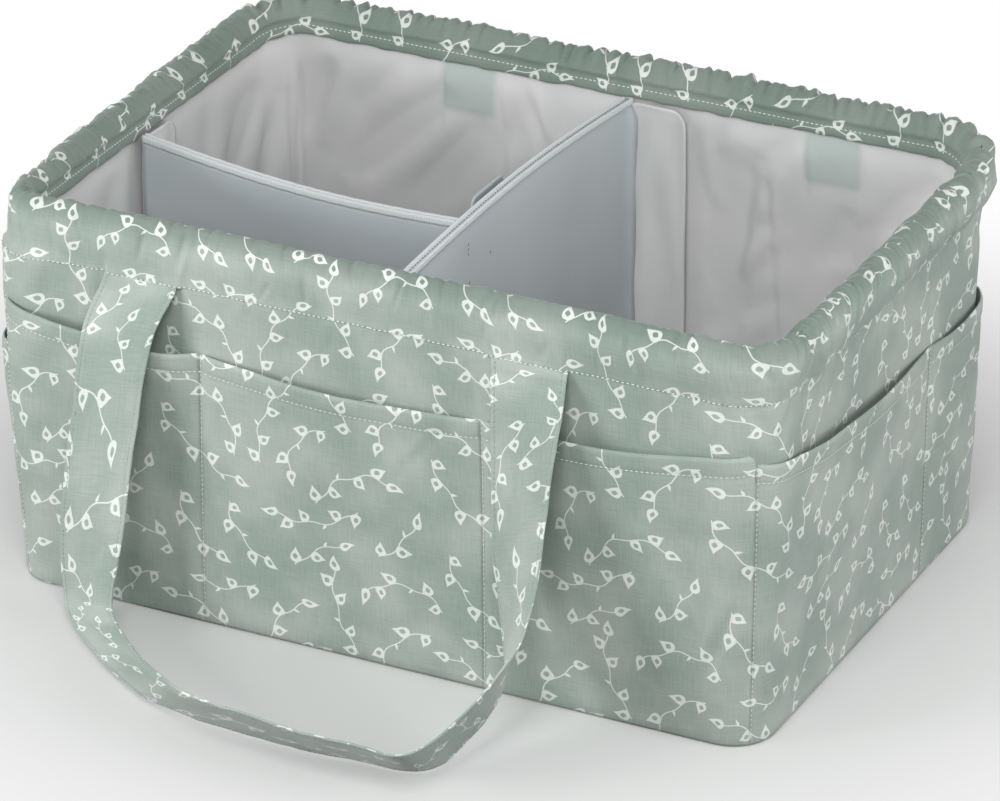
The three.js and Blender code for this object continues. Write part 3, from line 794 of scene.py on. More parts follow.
def crown_dents():
    """Narrow dents that the elastic pulls across the crown, close together at the corners."""
    lines = []
    u = -RING / 2
    while u < RING / 2:
        tight = tightness(u)
        first, last = HAND.uniform(0.016, 0.024), HAND.uniform(0.036, 0.047)
        lean = HAND.uniform(-7, 7) * MM
        deep = HAND.uniform(0.9, 2.4) * MM * min(tight, 1.0)
        lines.append((u, first, u + lean, last, deep, HAND.uniform(0.9, 1.7) * MM))
        u += HAND.uniform(5, 19) * MM * (1.3 - 0.75 * tight)
    return lines


GATHERS = crease_map(rim_gathers() + crown_dents())
STRAP_MIDDLE, STRAP_SPAN, STRAP_WIDTH = -0.018, 0.200, 0.038
STRAP_ENDS = [STRAP_MIDDLE - STRAP_SPAN / 2, STRAP_MIDDLE + STRAP_SPAN / 2]


def strap_share(u):
    """1 where a strap's sewn end lies under the rim, on the front and on the back."""
    found = 0.0
    for middle in (*STRAP_ENDS, *(end + RING / 2 for end in STRAP_ENDS)):
        near = abs(short_way(u - middle))
        found = max(found, smooth((STRAP_WIDTH / 2 + 3 * MM - near) / (4 * MM)))
    return found


def rim_point(s, t):
    u = (s - 0.5) * RING
    row = t * RIM_ROWS
    index = min(int(row), RIM_ROWS - 1)
    out, z = RIM_SECTION[index].lerp(RIM_SECTION[index + 1], row - index)
    ahead = RIM_SECTION[index + 1] - RIM_SECTION[index]
    normal = Vector((ahead.y, -ahead.x)).normalized()
    v = t * RIM_CLOTH
    at = wall(u, z * MM)
    tight = tightness(u)
    belly = math.sin(math.pi * t)
    lift = 0.9 * tight * gathered(u + 0.15 * v, v, 0.8) + crease_lift(GATHERS, u, v) / MM
    lift += 0.7 * swell(at, 0.030, 7.7)
    lift *= belly**0.5 * (1 - 0.6 * smooth((t - 0.75) / 0.15))
    lift -= 0.7 * math.exp(-(((t - HEM_SEAM) / 0.018) ** 2))
    seam = (1 - t) ** 8 * (wall_out(u, CASING_SEAM) / MM + 0.2 - out)
    wave = 1.2 * swell(Vector((at.x, at.y, 0)), 0.070, 5.5) * belly
    ruffle = 1.1 * tight * swell(Vector((at.x, at.y, 0)), 0.009, 1.5) * smooth((t - HEM_SEAM) / 0.1)
    puffed = ring_table(u, PLUMP) * math.sin(math.pi * min(t / 0.8, 1)) ** 0.8
    out += normal.x * lift + puffed + seam + 2.0 * strap_share(u) * (1 - t) ** 3
    return wall(u, (z + normal.y * lift + wave + ruffle) * MM, max(out, RIM_INNERMOST) * MM)


rim_casing = cloth(
    "rim_casing", (round(RING / (1.2 * MM)), RIM_ROWS), rim_point,
    lambda s, t: ((s - 0.5) * RING, CASING_SEAM + t * RIM_CLOTH),
    COTTON, ring=True, nodes=["rim_casing"],
    # Painted shade: the share of deeper sage starts just before the crown and is full from the crown to the
    # hem.
    shadow=lambda s, t: smooth((t - 0.34) / 0.22),
)
print("rim casing:", len(rim_casing.data.vertices), "vertices")

# %% [markdown]
# **Elastic.** A woven band in the channel. It isn't seen, but it is what gathers the rim.

# %% Elastic
ELASTIC_LOW = WALL_TOP + 0.3 * MM
ELASTIC_DEPTH, ELASTIC_WIDTH = 2.2 * MM, 9 * MM
rim_elastic = cloth(
    "elastic_band", (round(RING / (6 * MM)), 4),
    lambda s, t: wall(s * RING, ELASTIC_LOW + t * ELASTIC_WIDTH, -ELASTIC_DEPTH),
    lambda s, t: (s * RING, t * ELASTIC_WIDTH),
    ELASTIC, ring=True, nodes=["rim_elastic"], thickness=1.3 * MM,
)

# %% [markdown]
# **Slip pockets.** One band of cotton round the caddy, hemmed along its top and sewn down
# at its upright seams. Between the seams the hem stands off the wall, so each pocket gapes
# a little. The hem is turned under 9.5 mm wide, which makes a faint step where it is sewn.
# The pockets' cloth is cut 37 mm further up the print, so the sprigs don't meet the wall's.

# %% Pockets
HEM = 9.5 * MM
POCKET_FOOT = 0.6 * MM
PRINT_SHIFT = 37 * MM
POCKETS = {
    "pocket_front_a": (-CORNER, -0.089, (0.150, 0.142), 7.5, [(-0.108, 16, 5.0)]),
    "pocket_front_b": (-0.089, 0.057, (0.142, 0.140), 5.0, [(-0.020, 30, 1.5)]),
    "pocket_front_c": (0.057, CORNER, (0.140, 0.150), 5.5, [(0.120, 26, 1.5)]),
    "pocket_right_a": (CORNER, SIDE_SEAM, (0.145, 0.125), 6.0, [(CORNER + 0.050, 24, 2.0)]),
    "pocket_right_b": (SIDE_SEAM, RING / 2 - CORNER, (0.125, 0.125), 3.0, []),
    "pocket_back_a": (RING / 2 - CORNER, RING / 2 - 0.089, (0.150, 0.142), 6.5, []),
    "pocket_back_b": (RING / 2 - 0.089, RING / 2 + 0.057, (0.142, 0.140), 5.5, []),
    "pocket_back_c": (RING / 2 + 0.057, RING / 2 + CORNER, (0.140, 0.150), 6.5, []),
    "pocket_left_a": (RING / 2 + CORNER, RING / 2 + SIDE_SEAM, (0.145, 0.125), 7.5, []),
    "pocket_left_b": (RING / 2 + SIDE_SEAM, RING - CORNER, (0.125, 0.125), 3.0, []),
}


def pocket_creases(start, end, tops):
    """Drag lines that run down and in from the top corners, and a few soft upright ones."""
    lines = []
    for _ in range(7):
        edge, way = HAND.choice(((start, 1), (end, -1)))
        u = edge + way * HAND.uniform(2, 22) * MM
        z = min(tops) * HAND.uniform(0.5, 0.98)
        length = HAND.uniform(18, 50) * MM
        lean = way * length * HAND.uniform(0.1, 0.9)
        lines.append((u, z, u + lean, z - length, HAND.uniform(0.3, 0.8) * MM, HAND.uniform(2.5, 5) * MM))
    for _ in range(4):
        u = HAND.uniform(start, end)
        z = min(tops) * HAND.uniform(0.4, 0.95)
        length = HAND.uniform(25, 70) * MM
        lean = HAND.uniform(-8, 8) * MM
        lines.append((u, z, u + lean, z - length, HAND.uniform(0.25, 0.6) * MM, HAND.uniform(3, 6) * MM))
    return lines


class Pocket:
    """The sewn shape of one pocket front, as point(share along, share up, extra out)."""

    def __init__(self, start, end, tops, gape, mouths):
        self.start, self.end, self.tops = start, end, tops
        self.gape, self.mouths = gape * MM, mouths
        self.creases = crease_map(pocket_creases(start, end, tops))

    def top(self, s):
        return lerp(*self.tops, s) - 2 * MM * math.sin(math.pi * s)

    def point(self, s, t, extra=0.0):
        u = lerp(self.start, self.end, s)
        top = self.top(s)
        z = max(top * t, POCKET_FOOT)
        at = wall(u, z)
        rise = math.sin(math.pi * s)
        gape = self.gape * rise * t**1.6
        for middle, wide, deep in self.mouths:
            gape += deep * MM * math.exp(-(((u - middle) / (wide * MM)) ** 2)) * t**4 * min(1, 4 * rise)
        free = min(1.0, 6 * rise + 0.15)
        out = 1.5 * MM + gape + corner_belly(u, z)
        soft = 0.9 * MM * swell(at, 0.050, 9.2) + 0.35 * MM * swell(at, 0.018, 4.4)
        out += free * soft * smooth(z / 0.03)
        out += free * crease_lift(self.creases, u, z)
        below = top - z
        out += 0.5 * MM * smooth((HEM + 1 * MM - below) / (2 * MM))
        out -= 0.5 * MM * math.exp(-(((below - HEM) / (1.1 * MM)) ** 2))
        out -= 0.7 * MM * smooth(1 - below / (1.2 * MM))
        for seam in (self.start, self.end):
            out -= 0.8 * MM * math.exp(-(((u - seam) / (2.2 * MM)) ** 2))
        if z < 4 * MM:
            out -= 1.6 * MM * (1 - z / (4 * MM)) ** 2
        return wall(u, z, max(out, 0.9 * MM) + extra)

    def path(self, t_of, steps):
        return [self.point(step / steps, t_of(step / steps), 0.15 * MM) for step in range(steps + 1)]


pockets = {}
for name, spec in POCKETS.items():
    pocket = Pocket(*spec)
    pockets[name] = pocket
    long = pocket.end - pocket.start
    high = max(pocket.tops)
    front = cloth(
        name, grid_size(long, high, 1.75 * MM), pocket.point,
        lambda s, t, p=pocket: (lerp(p.start, p.end, s), p.top(s) * t + PRINT_SHIFT),
        COTTON, nodes=[name],
    )
print("pockets:", len(pockets))

# %% [markdown]
# **Base.** The underside is a rounded plate of the same cotton. A cube is scaled to it, its
# four upright edges are rounded first and then the rest, and its UV map is laid from above.

# %% Base cloth


def rounded_plate(name, low, high, corner, edge, material, body="caddy", nodes=()):
    """A box from one corner to the other with round corners in plan and softened edges."""
    made = bmesh.new()
    bmesh.ops.create_cube(made, size=1.0)
    middle, size = (low + high) / 2, high - low
    stretch = Matrix.Translation(middle) @ Matrix.Diagonal((*size, 1))
    bmesh.ops.transform(made, matrix=stretch, verts=made.verts)
    upright = [e for e in made.edges if abs(e.verts[0].co.z - e.verts[1].co.z) > size.z / 2]
    bmesh.ops.bevel(
        made, geom=upright, offset=corner, segments=10, profile=0.5, affect="EDGES", material=-1,
    )
    flat = [e for e in made.edges if e.calc_face_angle(0) > 1.0]
    bmesh.ops.bevel(made, geom=flat, offset=edge, segments=2, profile=0.5, affect="EDGES", material=-1)
    uv = made.loops.layers.uv.new("cut")
    for face in made.faces:
        for loop in face.loops:
            loop[uv].uv = loop.vert.co.xy
    return finish_mesh(name, made, material, body, nodes)


base_low, base_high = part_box("outer_base")
base_cloth = rounded_plate(
    "base_cloth", base_low, base_high, BASE_CORNER - 1.5 * MM, 0.4 * MM, COTTON,
    nodes=["outer_base"],
)

# %% [markdown]
# **Lining.** Taffeta hangs inside the boards from under the rim's hem. It is cut loose, so
# it falls in long soft folds. Behind it the ends of the straps are sewn to the wall, and
# they show as small upright panels. It is placed by its inner face.

# %% Lining
LINING_DEPTH = 6.9 * MM
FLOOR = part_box("lining_base")[1].z
BACK = RING / 2
TAIL_WIDTH, TAIL_HEIGHT = 30 * MM, 27 * MM
BACK_FOLDS = [
    ((-0.1745, 0.050), (-0.1795, 0.172), 6.5, 2.2),
    ((-0.1600, 0.178), (-0.1745, 0.130), 3.6, 6.0),
    ((-0.090, 0.172), (-0.150, 0.112), 4.2, 8.5),
    ((-0.120, 0.184), (-0.146, 0.150), 1.6, 6.0),
    ((-0.072, 0.158), (-0.118, 0.084), 3.8, 9.0),
    ((-0.150, 0.120), (-0.160, 0.040), 2.0, 8.0),
    ((-0.0970, 0.186), (-0.0975, 0.150), 1.5, 1.6),
    ((-0.0660, 0.186), (-0.0600, 0.118), 1.4, 1.8),
    ((-0.052, 0.160), (-0.046, 0.060), 1.6, 7.0),
    ((-0.030, 0.186), (-0.036, 0.120), 1.4, 6.0),
    ((0.064, 0.187), (0.051, 0.170), 1.6, 4.0),
    ((0.060, 0.180), (0.056, 0.060), 2.0, 10.0),
    ((0.100, 0.186), (0.076, 0.163), 2.6, 6.0),
    ((0.080, 0.170), (0.069, 0.138), 3.0, 7.5),
    ((0.072, 0.150), (0.056, 0.095), 3.0, 8.0),
    ((0.0842, 0.160), (0.0850, 0.118), 1.8, 1.5),
    ((0.0848, 0.128), (0.0905, 0.040), 1.4, 1.8),
    ((0.085, 0.142), (0.060, 0.108), 2.4, 6.0),
    ((0.086, 0.124), (0.058, 0.082), 2.4, 6.5),
    ((0.088, 0.100), (0.050, 0.070), 2.2, 6.5),
    ((0.176, 0.176), (0.118, 0.120), 3.2, 7.0),
    ((0.186, 0.150), (0.120, 0.092), 2.8, 8.0),
    ((0.126, 0.150), (0.112, 0.115), 2.0, 5.0),
    ((0.160, 0.110), (0.110, 0.050), 2.4, 9.0),
    ((0.1030, 0.187), (0.1032, 0.150), 1.2, 1.8),
    ((0.1335, 0.186), (0.1338, 0.152), 1.2, 1.8),
]
LEFT_FOLDS = [
    ((0.112, 0.168), (0.070, 0.120), 3.6, 11.0),
    ((0.132, 0.160), (0.108, 0.090), 2.4, 8.0),
    ((0.060, 0.180), (0.046, 0.080), 2.4, 9.0),
    ((0.100, 0.110), (0.060, 0.050), 2.4, 10.0),
    ((-0.040, 0.176), (-0.056, 0.080), 2.4, 9.0),
    ((-0.080, 0.178), (-0.086, 0.070), 2.6, 8.0),
    ((-0.108, 0.170), (-0.090, 0.090), 2.0, 7.0),
]
LEFT_MIDDLE = RING - RIGHT_MIDDLE
LINING_FOLDS = [
    (start - x0, z0, start - x1, z1, deep, wide)
    for start, folds in ((BACK, BACK_FOLDS), (LEFT_MIDDLE, LEFT_FOLDS))
    for (x0, z0), (x1, z1), deep, wide in folds
]
for _ in range(34):
    u_at = HAND.uniform(0, RING)
    z_at = HAND.uniform(0.09, 0.185)
    fall = HAND.uniform(0.03, 0.09)
    lean = HAND.uniform(-0.04, 0.04)
    LINING_FOLDS.append(
        (u_at, z_at, u_at + lean, z_at - fall, HAND.uniform(0.6, 2.3), HAND.uniform(3, 8))
    )
LINING_CREASES = crease_map([(*line[:4], line[4] * MM, line[5] * MM) for line in LINING_FOLDS])


def tail_share(u, z):
    """1 over the strap ends that are sewn behind the lining."""
    found = 0.0
    for middle in (*STRAP_ENDS, *(end + BACK for end in STRAP_ENDS)):
        near = abs(short_way(u - middle))
        across = smooth((TAIL_WIDTH / 2 - near) / (2.2 * MM) + 0.5)
        found = max(found, across * smooth((z - WALL_TOP + TAIL_HEIGHT) / (2.2 * MM) + 0.5))
    return found


HELD_HALF, HELD_FADE = 30 * MM, 12 * MM
TAPE_MIDDLES = []
for node, start, along in (
    ("loop_tape_front", 0.0, Vector((1, 0, 0))),
    ("loop_tape_back", BACK, Vector((-1, 0, 0))),
    ("loop_tape_left", LEFT_MIDDLE, Vector((0, -1, 0))),
):
    low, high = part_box(node)
    TAPE_MIDDLES.append(start + along.dot((low + high) / 2))


def held_share(u):
    """1 where a wing and its tapes hold the lining flat on the wall."""
    found = 0.0
    for middle in TAPE_MIDDLES:
        near = abs(short_way(u - middle))
        found = max(found, smooth((HELD_HALF - near) / HELD_FADE))
    return found


def lining_point(s, t):
    u = s * RING
    z = lerp(FLOOR - 0.6 * MM, WALL_TOP - 0.5 * MM, t)
    at = wall(u, z)
    free = smooth((WALL_TOP - z) / (14 * MM)) * smooth(z / (30 * MM)) * (1 - held_share(u))
    fold = 1.5 * MM * (swell(at, 0.080, 2.2) + 0.9) + 0.5 * MM * swell(at, 0.024, 6.1)
    fold += crease_lift(LINING_CREASES, u % RING, z)
    fold = min(max(fold, -0.5 * MM), 6.5 * MM) * free
    fold += 0.45 * MM * tail_share(u, z) * smooth((WALL_TOP - z) / (5 * MM))
    return wall(u, z, -LINING_DEPTH - fold)


lining_wall = cloth(
    "lining_wall", (round(RING / (2.0 * MM)), 74), lining_point,
    lambda s, t: (s * RING, t * WALL_TOP), LINING, ring=True,
    nodes=["lining_front", "lining_right", "lining_back", "lining_left"],
    thickness=0.5 * MM, offset=1.0,
    shadow=lambda s, t: 0.9 * tail_share(s * RING, lerp(FLOOR, WALL_TOP, t)),
)
print("lining:", len(lining_wall.data.vertices), "vertices")

# %% Lining floor


def rounded_spot(s, t, half_x, half_y, radius):
    """The square's point (s, t) on a plate with round corners, middle at zero."""
    x, y = (2 * s - 1) * half_x, (2 * t - 1) * half_y
    over_x, over_y = abs(x) - (half_x - radius), abs(y) - (half_y - radius)
    if over_x > 0 and over_y > 0:
        pull = max(over_x, over_y) / math.hypot(over_x, over_y)
        x = math.copysign(half_x - radius + over_x * pull, x)
        y = math.copysign(half_y - radius + over_y * pull, y)
    return x, y


FLOOR_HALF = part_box("lining_base")[1]


def floor_point(s, t):
    x, y = rounded_spot(s, t, FLOOR_HALF.x, FLOOR_HALF.y, BASE_CORNER - 7.2 * MM)
    edge = min(FLOOR_HALF.x - abs(x), FLOOR_HALF.y - abs(y))
    ripple = noise.noise(Vector((x, y, 0)) / 0.03) + 0.6
    return Vector((x, y, FLOOR - 0.45 * MM + 0.4 * MM * ripple * smooth(edge / 0.02)))


lining_floor = cloth(
    "lining_floor", (120, 84), floor_point, lambda s, t: (s * FLOOR_HALF.x * 2, t * FLOOR_HALF.y * 2),
    LINING, nodes=["lining_base"], thickness=0.4 * MM,
)

# %% [markdown]
# **Strap handles.** Each is a tube of cotton pressed flat and edge-stitched, 38 mm wide. At
# rest the front one falls in a loop: down from its left seam, out along the floor on its
# edge, and back up with half a turn to its right seam. Two rails give its edges, row by row,
# as shares of its span, its reach and its drop. The back strap is the same, turned round.

# %% Strap rails
STRAP_THICKNESS = 1.9 * MM
STRAP_REACH = 0.114
STRAP_TOP = 0.1715
STRAP_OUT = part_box("outer_front")[0].y - 3.4 * MM
STRAP_LOW = 1.5 * MM
LEFT_RAIL_SHARES = [
    (-0.6, 0, 1), (-0.632, 0.075, 0.86), (-0.65, 0.12, 0.64), (-0.672, 0.175, 0.34),
    (-0.67, 0.17, 0.08), (-0.645, 0.23, 0.02), (-0.53, 0.41, 0.01), (-0.4, 0.57, 0.01),
    (-0.22, 0.72, 0.01), (0.06, 0.76, 0.01), (0.31, 0.745, 0.01), (0.445, 0.68, 0.01),
    (0.485, 0.44, 0.04), (0.5, 0.24, 0.12), (0.47, 0.14, 0.25), (0.43, 0.095, 0.46),
    (0.42, 0.07, 0.68), (0.415, 0.05, 0.86), (0.4, 0, 1),
]
RIGHT_RAIL_SHARES = [
    (-0.4, 0, 1), (-0.437, 0.085, 0.88), (-0.457, 0.15, 0.68), (-0.477, 0.215, 0.38),
    (-0.508, 0.27, 0.14), (-0.47, 0.355, 0.1), (-0.36, 0.56, 0.12), (-0.26, 0.72, 0.13),
    (-0.1, 0.91, 0.16), (0.14, 0.975, 0.16), (0.37, 0.985, 0.155), (0.475, 0.95, 0.16),
    (0.52, 0.71, 0.2), (0.57, 0.52, 0.28), (0.6, 0.36, 0.38), (0.605, 0.23, 0.57),
    (0.605, 0.15, 0.77), (0.605, 0.085, 0.9), (0.6, 0, 1),
]


def strap_rail(shares):
    """A rail's points, with one more at each end where the strap goes up under the rim."""
    points = [
        Vector((
            STRAP_MIDDLE + across * STRAP_SPAN, STRAP_OUT - out * STRAP_REACH,
            lerp(STRAP_LOW, STRAP_TOP, up),
        ))
        for across, out, up in shares
    ]
    rise = Vector((0, 3.4 * MM, 9 * MM))
    return [points[0] + rise, *points, points[-1] + rise]


def strap_rows(steps):
    left, right = strap_rail(LEFT_RAIL_SHARES), strap_rail(RIGHT_RAIL_SHARES)
    rows, travel = [], 0.0
    for step in range(steps + 1):
        a, b = curve_through(left, step / steps), curve_through(right, step / steps)
        ahead = min(step / steps + 0.002, 1)
        behind = ahead - 0.004
        way = sum(
            (curve_through(rail, ahead) - curve_through(rail, behind) for rail in (left, right)), Vector()
        )
        middle = (a + b) / 2
        across = (b - a).normalized()
        if rows:
            travel += (middle - rows[-1][0]).length
        rows.append((middle, across, across.cross(way).normalized(), travel))
    return rows


STRAP_STEPS = 420
STRAP_ROWS = strap_rows(STRAP_STEPS)
STRAP_LENGTH = STRAP_ROWS[-1][3]
print(f"a strap is {STRAP_LENGTH / MM:.0f} mm long from seam to seam")

# %% Strap cloth


def strap_creases():
    lines = []
    for _ in range(34):
        u = HAND.uniform(0.03, STRAP_LENGTH - 0.03)
        v = HAND.uniform(-1, 1) * STRAP_WIDTH / 2
        length = HAND.uniform(8, 26) * MM
        angle = HAND.uniform(-0.9, 0.9)
        lines.append((
            u, v, u + length * math.cos(angle), v + length * math.sin(angle),
            HAND.uniform(0.25, 0.7) * MM, HAND.uniform(1.2, 2.6) * MM,
        ))
    return lines


STRAP_CREASES = crease_map(strap_creases())
STRAP_FLATNESS, STRAP_ROUNDNESS = 0.30, 0.55
STRAP_BACK_CUT = 0.055


def pressed(wave, power):
    """A wave pushed out towards 1 and -1, for the section of a tube that is pressed flat."""
    return math.copysign(abs(wave) ** power, wave)


def strap_point(s, side, extra=0.0, mirror=1):
    """side goes round the strap's section from 0 to 1: the front face, then the back."""
    place = min(max(s, 0.0), 1.0) * STRAP_STEPS
    index = min(int(place), STRAP_STEPS - 1)
    f = place - index
    (m0, a0, n0, t0), (m1, a1, n1, t1) = STRAP_ROWS[index], STRAP_ROWS[index + 1]
    middle, across, normal = m0.lerp(m1, f), a0.lerp(a1, f).normalized(), n0.lerp(n1, f).normalized()
    angle = 2 * math.pi * side
    flat = pressed(math.cos(angle), STRAP_FLATNESS)
    thick = pressed(math.sin(angle), STRAP_ROUNDNESS)
    v = flat * STRAP_WIDTH / 2
    u = lerp(t0, t1, f)
    edge = STRAP_WIDTH / 2 - abs(v)
    groove = 0.35 * math.exp(-(((edge - 2.6 * MM) / (0.8 * MM)) ** 2))
    body = thick * STRAP_THICKNESS / 2 * (1 - groove)
    lift = crease_lift(STRAP_CREASES, u, v) + 0.6 * MM * noise.noise(Vector((u / 0.03, v / 0.02, 2.0)))
    lift += 0.35 * MM * crumple(Vector((u / 0.030, v / 0.022, 6.0)))
    ends = smooth(u / 0.03) * smooth((STRAP_LENGTH - u) / 0.03)
    from_seam = min(u, STRAP_LENGTH - u) - 14 * MM
    if thick > 0:
        body -= 0.9 * MM * math.exp(-((from_seam / (1.3 * MM)) ** 2))
    point = middle + across * v + normal * (body + lift * ends + math.copysign(extra, thick))
    point.z = max(point.z, 0.4 * MM)
    return Vector((mirror * point.x, mirror * point.y, point.z))


def strap_cut(s, t):
    """Both faces are the same strip of cloth, so the back's cut goes on past the front's edge."""
    across = pressed(math.cos(2 * math.pi * t), STRAP_FLATNESS)
    return s * STRAP_LENGTH, across * STRAP_WIDTH / 2 + (0.0 if t < 0.5 else STRAP_BACK_CUT)


straps = {}
for name, mirror in (("front", 1), ("back", -1)):
    strap = cloth(
        f"{name}_strap", (STRAP_STEPS // 2, 64),
        lambda s, t, m=mirror: strap_point(s, t, 0.0, m),
        strap_cut,
        COTTON, body=None, tube=True, thickness=0,
        nodes=[f"{name}_handle", f"{name}_handle_anchor_left", f"{name}_handle_anchor_right"],
    )
    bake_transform(strap)
    straps[name] = strap

# %% [markdown]
# **Strap tails.** Inside, each strap end is turned down behind the lining and sewn, so the
# handle's pull is spread over the board. Each strap has two such tails.

# %% Strap tails
TAIL_DEPTH = 4.9 * MM
for side_name, start in (("front", 0.0), ("back", BACK)):
    for label, middle in zip(("left", "right"), STRAP_ENDS):
        tail = cloth(
            f"{side_name}_strap_tail_{label}", (12, 10),
            lambda s, t, m=middle + start: wall(
                m + (s - 0.5) * TAIL_WIDTH,
                WALL_TOP - TAIL_HEIGHT + t * (TAIL_HEIGHT - 0.5 * MM), -TAIL_DEPTH,
            ),
            lambda s, t: (s * TAIL_WIDTH, t * TAIL_HEIGHT),
            COTTON, nodes=[f"{side_name}_handle_tail_{label}"], thickness=0.8 * MM,
        )

# %% [markdown]
# **Dividers.** A divider is a board in a sleeve of taffeta, folded over its top and bound
# there. The sleeve is a little loose, so it stands off the board in the middle and pulls in
# at the corners. At each end it turns into a flap, the wing, which holds on the lining.

# %% Divider sleeves
SLEEVE_HALF, SLEEVE_CREST = 2.3 * MM, 1.7 * MM
FLARE = 9 * MM
DIVIDER_END = 11.3 * MM
DIVIDER_FOOT = FLOOR + 0.6 * MM
CROSS_X, SHORT_LEFT_Y, SHORT_RIGHT_Y = 8 * MM, -12 * MM, -32 * MM
CROSS_FRONT_TOP, CROSS_BACK_TOP, CROSS_RISE = 0.193, 0.187, 6 * MM
SHORT_TOP, SHORT_SAG = 0.183, 5.5 * MM
WING_WIDTH, WING_TOP, INNER_WING_TOP = 34 * MM, 0.186, 0.197


def cross_top(s):
    return lerp(CROSS_FRONT_TOP, CROSS_BACK_TOP, s) + CROSS_RISE * math.sin(math.pi * s)


def short_top(s):
    return SHORT_TOP - SHORT_SAG * math.sin(math.pi * s)


def cross_spot(s, z, off):
    end = half_sizes(z)[1] - DIVIDER_END
    return Vector((CROSS_X + off, lerp(-end, end, s), z))


SHORT_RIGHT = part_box("short_divider_cover")[1].x


def short_spot(s, z, off):
    return Vector((
        lerp(DIVIDER_END - half_sizes(z)[0], SHORT_RIGHT, s), lerp(SHORT_LEFT_Y, SHORT_RIGHT_Y, s) + off, z,
    ))


def sleeve_section(t, high, half):
    """Over the fold from one foot to the other: the height, and how far off the middle."""
    straight = high - DIVIDER_FOOT - half
    arc = math.pi * half
    total = 2 * straight + arc
    gone = t * total
    if gone < straight:
        return DIVIDER_FOOT + gone, half
    if gone > straight + arc:
        return DIVIDER_FOOT + total - gone, -half
    angle = (gone - straight) / half
    return high - half + half * math.sin(angle), half * math.cos(angle)


def sleeve(name, spot, top, reach, seed, nodes, body):
    def place(s, t):
        z, off = sleeve_section(t, top(s), SLEEVE_HALF)
        side = off / SLEEVE_HALF
        below = top(s) - z
        off *= lerp(SLEEVE_CREST / SLEEVE_HALF, 1, smooth(below / (12 * MM)))
        loose = math.sin(math.pi * s) ** 0.5 * math.sin(math.pi * min(below / top(s) * 1.02, 1))
        at = Vector((s * reach, z, seed * side))
        puff = 0.5 * MM + 1.3 * MM * noise.noise(at / 0.06) + 0.4 * MM * noise.noise(at / 0.02)
        off += side * max(puff, 0) * max(loose, 0)
        if side > 0:
            end = max(FLARE - min(s, 1 - s) * reach, 0) / FLARE
            off += 3.2 * MM * end**2 * smooth(below / (10 * MM))
        return spot(s, z, off)

    high = top(0.5)
    piece = cloth(
        name, (round(reach / (3 * MM)), 2 * round(high / (3 * MM)) + 8), place,
        lambda s, t: (s * reach, t * 2 * high), DIVIDER, body=body, nodes=nodes,
        thickness=0.5 * MM,
    )
    return piece


CROSS_REACH = 2 * (half_sizes(COUNT_HEIGHT)[1] - DIVIDER_END)
SHORT_REACH = SHORT_RIGHT + half_sizes(COUNT_HEIGHT)[0] - DIVIDER_END
DIVIDERS = {
    "cross_divider": (cross_spot, cross_top, CROSS_REACH, 0.3, 2.7 * MM),
    "short_divider": (short_spot, short_top, SHORT_REACH, 0.7, 2.1 * MM),
}
for owner, (spot, top, reach, seed, _) in DIVIDERS.items():
    sleeve(f"{owner}_sleeve", spot, top, reach, seed, [f"{owner}_cover"], owner)

# %% [markdown]
# The binding is a narrow tape folded over the sleeve's top. Its two folded edges stand up
# as a pair of fine cords, with the stitching in the dip between them. On the short divider
# the cords lie side by side.

# %% Divider bindings
BINDING_HEIGHT, BINDING_CORD = 2.2 * MM, 0.65 * MM


def binding_section(half):
    """The tape's outer line, off the middle and up from the crest, one leg to the other."""
    points = [Vector((half, -BINDING_HEIGHT)), Vector((half, -1.0 * MM))]
    middle = Vector((half - BINDING_CORD, 0.3 * MM))
    for step in range(9):
        angle = math.pi * (step / 8 * 1.2 - 0.1)
        points.append(middle + Vector((math.cos(angle), math.sin(angle))) * BINDING_CORD)
    points.append(Vector((0.3 * (half - 2 * BINDING_CORD), 0.0)))
    return points + [Vector((-x, z)) for x, z in reversed(points)]


def binding(name, spot, top, reach, half, nodes, body):
    line = binding_section(half)
    width = sum((b - a).length for a, b in zip(line, line[1:]))
    print(f"{name}: the tape is {width / MM:.1f} mm wide")

    def place(s, t):
        place_at = t * (len(line) - 1)
        index = min(int(place_at), len(line) - 2)
        off, rise = line[index].lerp(line[index + 1], place_at - index)
        pinch = 0.12 * MM * math.sin(s * reach / (1.6 * MM))
        point = spot(s, top(s), off + pinch * 0.5)
        point.z += rise + 0.3 * pinch
        return point

    piece = cloth(
        name, (round(reach / (1.2 * MM)), len(line) - 1), place,
        lambda s, t: (s * reach, t * width), BINDING, body=body, nodes=nodes,
        thickness=0.4 * MM,
    )
    return piece


for owner, (spot, top, reach, _, half) in DIVIDERS.items():
    binding(f"{owner}_edge", spot, top, reach, half, [f"{owner}_binding"], owner)

# %% [markdown]
# **Wings and tapes.** A wing is a flap with round corners and a seam just inside its edge.
# A strip of hook tape is sewn to its back, and a strip of loop tape to the lining facing it.
# All are flat patches that stand at a given depth on a wall, or on the cross divider.

# %% Patches


def patch(
    name, width, low, high, spot, corner, material, body, nodes, thickness, seam=None, waves=0.0,
):
    def place(s, t):
        x, z = rounded_spot(s, t, width / 2, (high - low) / 2, corner)
        edge = min(width / 2 - abs(x), (high - low) / 2 - abs(z))
        dent = 0.4 * MM * math.exp(-(((edge - seam) / (0.8 * MM)) ** 2)) if seam else 0.0
        loose = noise.noise(Vector((x / 0.011, z / 0.045, width))) + 0.25
        dent -= waves * max(loose, 0) * smooth((width / 2 - abs(x)) / (8 * MM) + 0.3)
        return spot(x, z + (low + high) / 2, dent)

    piece = cloth(
        name, grid_size(width, high - low, 1.7 * MM), place,
        lambda s, t: (s * width, lerp(low, high, t)), material, body=body, nodes=nodes,
        thickness=thickness, offset=1.0,
    )
    return piece


def on_wall(middle, depth):
    return lambda x, z, dent: wall(middle + x, z, -depth + dent)


